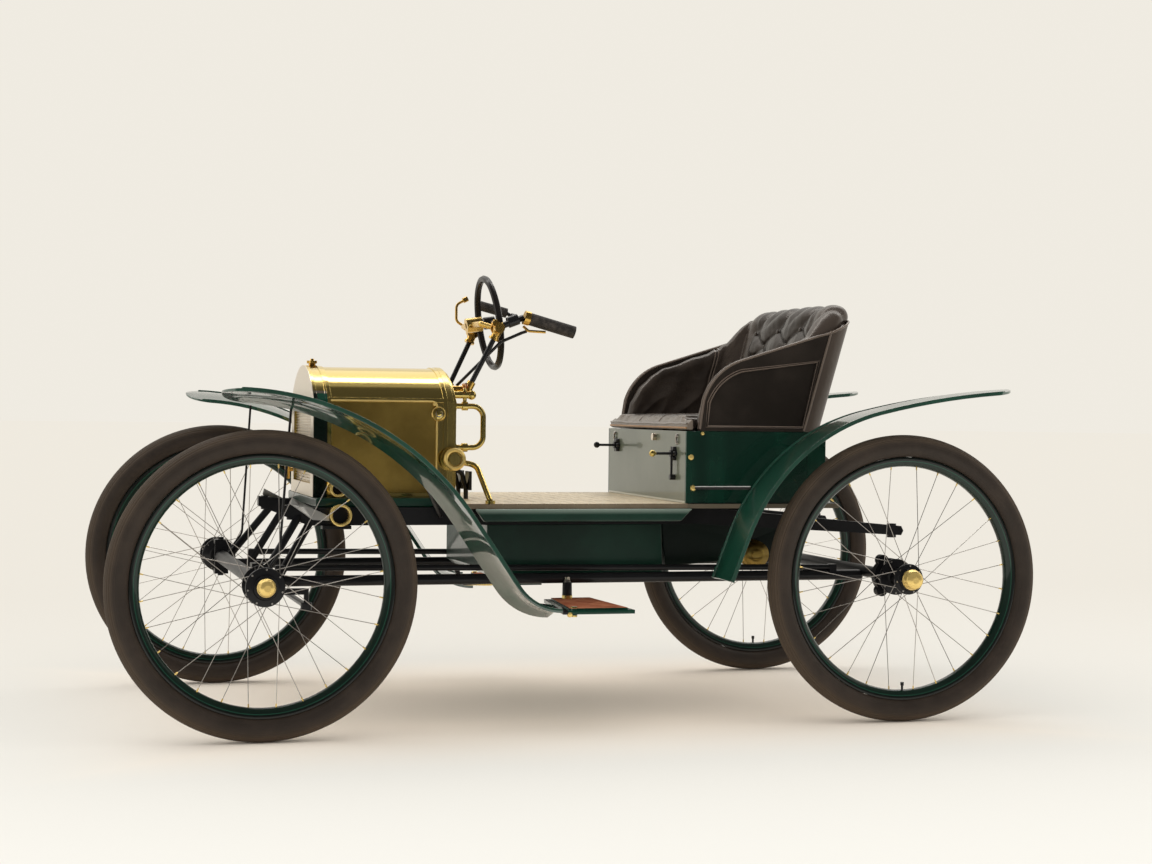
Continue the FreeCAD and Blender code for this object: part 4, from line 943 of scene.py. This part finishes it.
# foot of the upholstery, length of its hem behind and of its rounded end
LINING_FOOT = 0.716
LINING_HEM = 0.030
ARM_NOSE = 0.024
# outer side of the tub, with its rear corner rounded between these two
TUB_SIDE = 0.3395
TUB_CORNER = (-0.593, 0.278)
ARM_HEIGHTS = [
    # place along the U from the middle of the back, height of the upholstery's top
    (0.0, 1.041),
    (0.225, 1.040),
    (0.246, 1.036),
    (0.268, 1.020),
    (0.288, 0.988),
    (0.305, 0.960),
    (0.3224, 0.942),
    (0.348, 0.922),
    (0.420, 0.898),
    (0.472, 0.880),
    (0.500, 0.858),
    (0.520, 0.828),
    (0.5354, 0.780),
]


def table_value(table, place):
    """Straight interpolation in a table of (place, value)."""
    for (start, first), (end, second) in zip(table, table[1:]):
        if place <= end:
            return first + (second - first) * (place - start) / (end - start)
    return table[-1][1]


def seat_line(along):
    """Plan point of the upholstery's inner face, with its outward normal."""
    side = 1 if along >= 0 else -1
    run = abs(along)
    if run <= CORNER_START:
        return Vector((-0.588, along)), Vector((-1, 0))
    if run <= CORNER_END:
        turn = (run - CORNER_START) / CORNER_RADIUS
        facing = Vector((-math.cos(turn), math.sin(turn) * side))
        return Vector((-0.526, CORNER_START * side)) + facing * CORNER_RADIUS, facing
    return Vector((-0.526 + run - CORNER_END, 0.287 * side)), Vector((0, side))


def pillow(along, height, sizes):
    """Height of the buttoned pillows: 0 along the pleats, 1 between them."""
    slanted = along - PLEAT_SLANT * (height - PLEAT_LEVEL) - 4 * PLEAT_SLANT * max(height - TOP_ROW, 0)
    across = (slanted - BUTTON_START) / sizes.button_pitch
    drop = (TOP_ROW - height) / (2 * sizes.row_pitch)
    if drop < 0:
        main = abs(math.sin(math.pi * across))
        between = abs(math.sin(math.tau * across))
        mixed = smooth_step(0.0, -0.35, drop)
        return main * (1 - mixed * 0.45) + between * mixed * 0.45
    cell = abs(math.sin(math.pi * (across + drop)) * math.sin(math.pi * (across - drop)))
    return cell ** 0.42


def quilting(along, height, sizes):
    """The back's relief: buttoned pillows in the middle, upright folds round the corners."""
    run = abs(along)
    fold = abs(math.sin(math.pi * (run - 0.205) / 0.052 + (TOP_ROW - height) * 2.2)) ** 0.7
    middle_share = smooth_step(0.225, 0.188, run)
    return pillow(along, height, sizes) * middle_share + (0.25 + fold * 0.6) * (1 - middle_share)


def leaned(place, height):
    """Where a place along X at the tub's foot has come to at a height, by the tub's lean."""
    return place - TUB_LEAN * (height - TUB_FOOT)


def lining_relief(along, height, share, shrink, sizes):
    """How far the hide stands off its plain form: tufts on the back, folds on the arms."""
    run = abs(along)
    backed = smooth_step(CORNER_END + 0.02, CORNER_END - 0.045, run)
    tuft = (quilting(along, height, sizes) - 0.5) * sizes.tuft * backed
    belly = 0.007 * math.sin(math.pi * share) * (1 - backed)
    seam = -0.006 * math.exp(-((run - CORNER_END - 0.004) / 0.008) ** 2)
    slant = Vector((run * 13 + height * 10, run * 4 - height * 5, 3.1))
    folds = (0.5 - abs(noise.noise(slant)) * 2.4) * 0.009 * (1 - backed)
    ripple = noise.noise(Vector((along * 60, height * 60, 1.7))) * 0.0012
    return tuft + belly + seam + folds * shrink + ripple


def lining_shape(along, up, sizes):
    """Point and outward normal of the upholstery, along the U and up its profile, which is
    an inner face, a round top and a short hem behind."""
    spot, facing = seat_line(along)
    run = abs(along)
    thick = 0.038 + 0.035 * smooth_step(CORNER_END - 0.012, CORNER_START + 0.02, run)
    past = min(max((run - (ARM_END - ARM_NOSE)) / ARM_NOSE, 0.0), 1.0)
    shrink = math.sqrt(1 - past * past)
    roll = min(thick / 2, 0.034)
    shoulder = table_value(ARM_HEIGHTS, run) - roll
    wall = shoulder - LINING_FOOT
    cap = math.pi * roll
    travel = up * (wall + cap + LINING_HEM)
    turn = min(max((travel - wall) / roll, 0.0), math.pi)
    side, rise = -math.cos(turn), math.sin(turn)
    height = shoulder + rise * roll + min(travel - wall, 0.0) - max(travel - wall - cap, 0.0)
    plan = spot + facing * (thick / 2) + facing * (thick / 2 * shrink * side)
    normal = Vector((facing.x * side, facing.y * side, rise))
    fade = 1 - smooth_step(wall + cap, wall + cap + LINING_HEM, travel)
    fade *= 0.25 + 0.75 * smooth_step(0.0, 0.03, travel)
    share = min(travel / (wall + cap), 1.0)
    push = lining_relief(along, height, share, shrink, sizes) * fade
    return Vector((leaned(plan.x, height), plan.y, height)) + normal * push, normal


def swept(shape, points, radius, sides=8, material=0, closed=False):
    """Carry a ring along a line of points."""
    points = [Vector(point) for point in points]
    rings = []
    facing, turn = Vector((0, 0, 1)), Matrix.Identity(3)
    for number, point in enumerate(points):
        before = points[number - 1] if number or closed else point
        after = points[(number + 1) % len(points)] if number + 1 < len(points) or closed else point
        way = (after - before).normalized()
        turn = facing.rotation_difference(way).to_matrix() @ turn
        facing = way
        ring = bmesh.ops.create_circle(
            shape, segments=sides, radius=radius,
            matrix=Matrix.Translation(point) @ turn.to_4x4(),
        )["verts"]
        rings.append(ring)
    for ring, following in zip(rings, rings[1:] + rings[:1] if closed else rings[1:]):
        edges = {edge for point in ring + following for edge in point.link_edges
                 if (len(edge.link_faces) < 2 and set(edge.verts) <= set(ring))
                 or set(edge.verts) <= set(following)}
        made = bmesh.ops.bridge_loops(shape, edges=list(edges))
        for face in made["faces"]:
            face.material_index = material


def as_tubes(name, shape, finishes):
    """Close the ends of swept lines, turn their faces outwards and make them a piece."""
    open_edges = [edge for edge in shape.edges if edge.is_boundary]
    bmesh.ops.holes_fill(shape, edges=open_edges, sides=24)
    bmesh.ops.recalc_face_normals(shape, faces=shape.faces)
    as_piece(name, shape, finishes, sharp=60.0)


def arc_points(start, end, radius, count=10):
    """Points of an arc that bulges to the right of the way from start to end."""
    start, end = Vector(start), Vector(end)
    chord = end - start
    left = Vector((-chord.y, chord.x)).normalized()
    centre = (start + end) / 2 + left * math.sqrt(radius ** 2 - (chord.length / 2) ** 2)
    first = math.atan2(*(start - centre).yx)
    last = math.atan2(*(end - centre).yx)
    swing = (last - first + math.pi) % math.tau - math.pi
    return [
        centre + Vector((math.cos(first + swing * step / count), math.sin(first + swing * step / count)))
        * radius for step in range(count + 1)
    ]


class CAR_OT_seat(bpy.types.Operator):
    """Upholster the tub, its buttoned back and its cushion"""

    bl_idname = "car.seat"
    bl_label = "Seat"

    def execute(self, context):
        sizes = context.scene.seat_sizes
        self.line_tub(sizes)
        self.sew_buttons(sizes)
        self.sew_welts(sizes)
        self.stuff_cushion()
        return {"FINISHED"}

    def line_tub(self, sizes):
        columns, rows = 300, 110
        shape = bmesh.new()
        bmesh.ops.create_grid(shape, x_segments=columns, y_segments=rows, size=0.5)
        hems = [edge for edge in shape.edges if all(abs(end.co.y) > 0.4999 for end in edge.verts)]
        bmesh.ops.bridge_loops(shape, edges=hems)
        for point in shape.verts:
            along = point.co.x * 2 * ARM_END
            point.co = lining_shape(along, point.co.y + 0.5, sizes)[0]
        bmesh.ops.remove_doubles(shape, verts=shape.verts, dist=0.00005)
        bmesh.ops.holes_fill(shape, edges=[e for e in shape.edges if e.is_boundary], sides=0)
        bmesh.ops.recalc_face_normals(shape, faces=shape.faces)
        piece = as_piece("buttoned_lining", shape, ["seat_leather"], "chassis",
                         ["seat_lining"], 80.0)

    def sew_buttons(self, sizes):
        shape = bmesh.new()
        for row in range(ROWS):
            height = TOP_ROW - row * sizes.row_pitch
            start = BUTTON_START + (row % 2) * sizes.button_pitch / 2
            for number in range(-3, 3):
                along = start + number * sizes.button_pitch + PLEAT_SLANT * (height - PLEAT_LEVEL)
                if abs(along) > 0.21:
                    continue
                up = self.profile_place(along, height, sizes)
                point, normal = lining_shape(along, up, sizes)
                turn = Vector((0, 0, 1)).rotation_difference(normal).to_matrix().to_4x4()
                flat = Matrix.Diagonal((1, 1, 0.5, 1))
                bmesh.ops.create_uvsphere(
                    shape, u_segments=16, v_segments=8, radius=0.0075,
                    matrix=Matrix.Translation(point + normal * 0.001) @ turn @ flat,
                )
        as_piece("seat_buttons", shape, ["seat_leather"])

    def profile_place(self, along, height, sizes):
        """How far up the profile a height on the inner face lies."""
        low_end, high_end = 0.0, 0.62
        for _ in range(24):
            guess = (low_end + high_end) / 2
            if lining_shape(along, guess, sizes)[0].z < height:
                low_end = guess
            else:
                high_end = guess
        return low_end

    def sew_welts(self, sizes):
        shape = bmesh.new()
        pipe = sizes.piping
        inset = [(-0.338, 0.7285), (-0.344, 0.786)]
        inset += arc_points((-0.344, 0.786), (-0.428, 0.862), 0.125)
        inset += [(-0.626, 0.890), (-0.588, 0.7285)]
        for side in (1, -1):
            for shift in (0.0005, 0.0125):
                swept(shape, self.rim_line(side, shift), pipe)
            for corner, across in ((TUB_CORNER[0], TUB_SIDE), (-0.6545, TUB_CORNER[1])):
                line = [(leaned(corner, height), across * side, height)
                        for height in (0.717, 0.80, 0.88, 0.95, 0.972 if corner > -0.6 else 1.002)]
                swept(shape, line, pipe)
            centre = Vector((-0.48, 0.80))
            for grow, radius in ((0.003, 0.0022), (0.0095, 0.0018)):
                loop = []
                for x, z in inset:
                    away = Vector((x, z)) - centre
                    loop.append((x + away.x / away.length * grow, TUB_SIDE * side,
                                 z + away.y / away.length * grow))
                swept(shape, loop, radius, 6, closed=True)
            for along in (CORNER_END, CORNER_END + 0.009):
                seam = [lining_shape(along * side, step / 30 * 0.88, sizes) for step in range(4, 31)]
                swept(shape, [point + normal * 0.0005 for point, normal in seam], 0.0022, 6)
        as_tubes("seat_piping", shape, ["welt_leather"])

    def rim_line(self, side, shift):
        """The tub's top edge from an arm's foot, round the corner, to the middle of the back."""
        front = arc_points((-0.326, 0.790), (-0.420, 0.889), 0.150)
        rise = arc_points((-0.742, 1.004), (-0.632, 0.956), 0.300)[::-1]
        top = [(-point.x, point.y) for point in rise]
        line = [(-0.3155, 0.718), (-0.3205, 0.755), *front, (-0.526, 0.9225), *rise]
        points = [(x, 0.339 - shift, z + 0.0015) for x, z in line if x > -0.660]
        reach = 0.061 - shift
        for step in range(9):
            turn = math.radians(90 * step / 8)
            corner, height = TUB_CORNER[0] - reach * math.sin(turn), 0.973
            for _ in range(4):
                height = table_value(top, -leaned(corner, height))
            across = TUB_CORNER[1] + reach * math.cos(turn)
            points.append((leaned(corner, height), across, height + 0.0015))
        points.append((points[-1][0], 0.0, points[-1][2]))
        return [(x, y * side, z) for x, y, z in points]

    def stuff_cushion(self):
        """Inflate the cushion a little, then sew its seams on."""
        start, end = low("seat_cushion"), high("seat_cushion")
        shape = bmesh.new()
        shape.from_mesh(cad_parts["seat_cushion"].data)
        bmesh.ops.remove_doubles(shape, verts=shape.verts, dist=WELD)
        piece = as_piece("stuffed_cushion", shape, ["cushion_leather"], "chassis",
                         ["seat_cushion"], 180.0)
        remesh = piece.modifiers.new("Even mesh", "REMESH")
        remesh.mode = "VOXEL"
        remesh.voxel_size = 0.006
        piece.modifiers.new("Round edges", "SMOOTH").iterations = 6
        apply_modifiers(piece)
        for point in piece.data.vertices:
            point.co -= point.normal * 0.005
        rest = [point.co.copy() for point in piece.data.vertices]
        inflate(piece, 4.0)
        swell = 0.011
        for point, still in zip(piece.data.vertices, rest):
            move = point.co - still
            # the foot stays flat on the box
            if still.z < start.z + 0.014:
                move.z = 0.0
            point.co = still + move * min(1.0, swell / max(move.length, 1e-9))
            rumple = noise.noise(point.co * 22) * 0.0022
            point.co.z += rumple * smooth_step(start.z + 0.01, end.z - 0.01, point.co.z)
        fill_box(piece.data.vertices, start, end)
        smooth = piece.modifiers.new("Soft surface", "SUBSURF")
        smooth.levels = smooth.render_levels = 1
        apply_modifiers(piece)
        for polygon in piece.data.polygons:
            polygon.use_smooth = True
        self.trim_cushion(piece, start, end)

    def trim_cushion(self, piece, start, end):
        """Piping along the front's lower and upper edges, and a seam across."""
        shape = bmesh.new()
        shape.from_mesh(piece.data)
        skin = BVHTree.FromBMesh(shape)
        shape.free()
        trim = bmesh.new()
        for material, height in ((1, start.z + 0.007), (0, end.z - 0.016)):
            line = []
            for step in range(41):
                across = start.y + 0.006 + (end.y - start.y - 0.012) * step / 40
                spot = skin.find_nearest(Vector((end.x + 0.01, across, height)))[0]
                line.append(spot + Vector((0.0008, 0, 0)))
            swept(trim, line, 0.0026, 8, material)
        for across in (-0.085, 0.085):
            line = []
            for step in range(25):
                along = end.x + 0.004 - (end.x - start.x - 0.02) * step / 24
                hit = skin.ray_cast(Vector((along, across, end.z + 0.05)), Vector((0, 0, -1)))[0]
                if hit:
                    line.append(hit)
            swept(trim, line, 0.0018, 6)
        as_tubes("cushion_piping", trim, ["welt_leather", "tan_piping"])


def fill_box(points, start, end):
    """Stretch points so that they reach from one corner of a box to the other."""
    for axis in range(3):
        places = [point.co[axis] for point in points]
        least, span = min(places), max(places) - min(places)
        for point, place in zip(points, places):
            point.co[axis] = start[axis] + (place - least) / span * (end[axis] - start[axis])


def apply_modifiers(piece):
    """Replace a piece's mesh by what its modifiers show."""
    graph = bpy.context.evaluated_depsgraph_get()
    graph.update()
    shown = bpy.data.meshes.new_from_object(piece.evaluated_get(graph))
    piece.modifiers.clear()
    piece.data = shown


def inflate(piece, pressure):
    """Let cloth swell for twenty steps under pressure, without weight."""
    scene = bpy.context.scene
    cloth = piece.modifiers.new("Stuffing", "CLOTH")
    cloth.settings.use_pressure = True
    cloth.settings.uniform_pressure_force = pressure
    cloth.settings.effector_weights.gravity = 0
    cloth.settings.quality = 6
    cloth.point_cache.frame_start = 1
    cloth.point_cache.frame_end = 20
    for step in range(1, 21):
        scene.frame_set(step)
    apply_modifiers(piece)
    scene.frame_set(1)


# ---------------------------------------------------------------- stage

CARDS = {
    # card: its centre, half its width along and across, tilt from level in degrees, glow
    "dark_card": ((1.5, 3.4, 3.2), (9.0, 3.2), 90.0, 0.07),
    "ceiling_card": ((1.5, 0.9, 6.4), (9.0, 2.5), 0.0, 0.07),
    "grey_card": ((1.5, -2.15, 6.4), (9.0, 0.55), 0.0, 0.35),
    "strip_card": ((1.5, -3.35, 6.4), (9.0, 0.65), 0.0, 6.0),
    "far_card": ((1.5, -6.4, 6.4), (9.0, 2.6), 0.0, 1.2),
}
LAMP_COLOUR = (1.0, 0.99, 0.975)
CAMERA_PLACE = (1.359, 5.135, 0.763)
# yaw from the car's side, pitch down and roll, in degrees
CAMERA_TURNS = (15.746, 0.616, 0.652)


class CAR_OT_stage(bpy.types.Operator):
    """Make the floor, the lamps, the cards and the camera"""

    bl_idname = "car.stage"
    bl_label = "Stage"

    def execute(self, context):
        settings = context.scene.stage_settings
        self.lay_floor(settings)
        self.light_room(settings)
        self.hang_lamps(settings)
        self.hang_cards()
        self.aim_camera(context)
        context.scene.view_settings.view_transform = "Standard"
        return {"FINISHED"}

    def lay_floor(self, settings):
        """A wide pale floor that meets the backdrop in the same tone."""
        shape = bmesh.new()
        bmesh.ops.create_circle(shape, cap_ends=True, segments=96, radius=90.0)
        light = settings.key * math.cos(math.radians(settings.key_slope)) / math.pi + settings.fill
        level = tuple(min(part / light, 1.0) for part in settings.backdrop)
        finish = Finish("studio_floor", roughness=1.0, specular_ior_level=0.0)
        along, across, _ = finish.axes()
        # painted light: paler towards the left side, and paler and warmer under the car, which lightens
        # and warms its shadow
        near = across.between(-3.5, 4.0)
        lit = tuple(min(part * gain, 1.0) for part, gain in zip(level, (1.18, 1.215, 1.26)))
        beside = along.size().between(0.5, 1.4).most(across.size().between(0.3, 1.0))
        under = finish.blend(1 - beside, finish.blend(near, level, lit), (1.0, 0.88, 0.74))
        finish.feed("Base Color", under)
        as_object("studio_floor", shape, "studio_floor")

    def light_room(self, settings):
        """Even light from all round; the backdrop's colour where it is seen or mirrored."""
        world = bpy.data.worlds.new("studio_room")
        bpy.context.scene.world = world
        room = Nodes(world)
        rays = room.node("ShaderNodeLightPath", {}).socket.node.outputs
        seen = Value(room, rays["Is Camera Ray"])
        for kind in ("Is Glossy Ray", "Is Transmission Ray"):
            seen = seen.most(Value(room, rays[kind]))
        fill = room.node("ShaderNodeBackground", {}, LAMP_COLOUR, settings.fill)
        shown = room.node("ShaderNodeBackground", {}, settings.backdrop, 1.0)
        mixed = room.node("ShaderNodeMixShader", {}, seen, fill, shown)
        room.join(room.tree.nodes["World Output"].inputs["Surface"], mixed)
        room.tree.nodes.remove(room.tree.nodes["Background"])

    def hang_lamps(self, settings):
        """One broad lamp overhead, from behind the car; its gloss comes from the cards."""
        sun = bpy.data.lights.new("overhead_lamp", "SUN")
        sun.energy = settings.key
        sun.angle = math.radians(settings.key_spread)
        sun.color = LAMP_COLOUR
        overhead = bpy.data.objects.new("overhead_lamp", sun)
        overhead.visible_glossy = False
        bpy.context.scene.collection.objects.link(overhead)
        slope = math.radians(settings.key_slope)
        aim = Vector((-math.sin(slope) * 0.25, math.sin(slope) * 0.97, -math.cos(slope)))
        overhead.matrix_world = (
            Matrix.Translation((0.2, -1.5, 3.5)) @ aim.to_track_quat("-Z", "Y").to_matrix().to_4x4()
        )

    def hang_cards(self):
        """Dark and bright cards that only the gloss of the car sees."""
        for name, (centre, half, tilt, glow) in CARDS.items():
            shape = bmesh.new()
            turn = Matrix.Rotation(math.radians(tilt), 4, "X")
            bmesh.ops.create_grid(
                shape, x_segments=1, y_segments=1, size=1.0,
                matrix=Matrix.Translation(centre) @ turn @ Matrix.Diagonal((*half, 1, 1)),
            )
            Finish(name, base_color=(0, 0, 0), specular_ior_level=0.0,
                   emission_color=(1.0, 0.97, 0.92), emission_strength=glow)
            card = as_object(name, shape, name)
            for ray in ("camera", "diffuse", "shadow", "transmission", "volume_scatter"):
                setattr(card, f"visible_{ray}", False)

    def aim_camera(self, context):
        """Stand the camera off the left front, at a person's chest, level and a touch rolled."""
        lens = bpy.data.cameras.new("camera")
        lens.sensor_width = 36.0
        lens.lens = 63.35
        lens.clip_end = 200.0
        camera = bpy.data.objects.new("camera", lens)
        context.scene.collection.objects.link(camera)
        yaw, pitch, roll = (math.radians(turn) for turn in CAMERA_TURNS)
        turn = Matrix.Rotation(math.pi - yaw, 4, "Z") @ Matrix.Rotation(math.pi / 2 - pitch, 4, "X")
        turn = turn @ Matrix.Rotation(roll, 4, "Z")
        camera.matrix_world = Matrix.Translation(CAMERA_PLACE) @ turn
        context.scene.camera = camera


# ---------------------------------------------------------------- panel


class CAR_PT_sidebar(bpy.types.Panel):
    """Lists the steps that dress the car"""

    bl_idname = "CAR_PT_sidebar"
    bl_label = "Brass Era Car"
    bl_space_type = "VIEW_3D"
    bl_region_type = "UI"
    bl_category = "Car"

    def draw(self, context):
        for operator in OPERATORS:
            self.layout.operator(operator.bl_idname)


GROUPS = {
    "car_colours": CarColours,
    "wheel_sizes": WheelSizes,
    "seat_sizes": SeatSizes,
    "stage_settings": StageSettings,
}
OPERATORS = [CAR_OT_stage, CAR_OT_wheels, CAR_OT_metalwork, CAR_OT_fittings, CAR_OT_seat]


def register():
    for made in [*GROUPS.values(), *OPERATORS, CAR_PT_sidebar]:
        bpy.utils.register_class(made)
    for name, group in GROUPS.items():
        setattr(bpy.types.Scene, name, PointerProperty(type=group))


def unregister():
    for name in GROUPS:
        delattr(bpy.types.Scene, name)
    for made in reversed([*GROUPS.values(), *OPERATORS, CAR_PT_sidebar]):
        bpy.utils.unregister_class(made)


def main():
    register()
    build_finishes(bpy.context.scene.car_colours)
    for operator in OPERATORS:
        group, name = operator.bl_idname.split(".")
        getattr(getattr(bpy.ops, group), name)()
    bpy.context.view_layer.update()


if __name__ == "__main__":
    main()
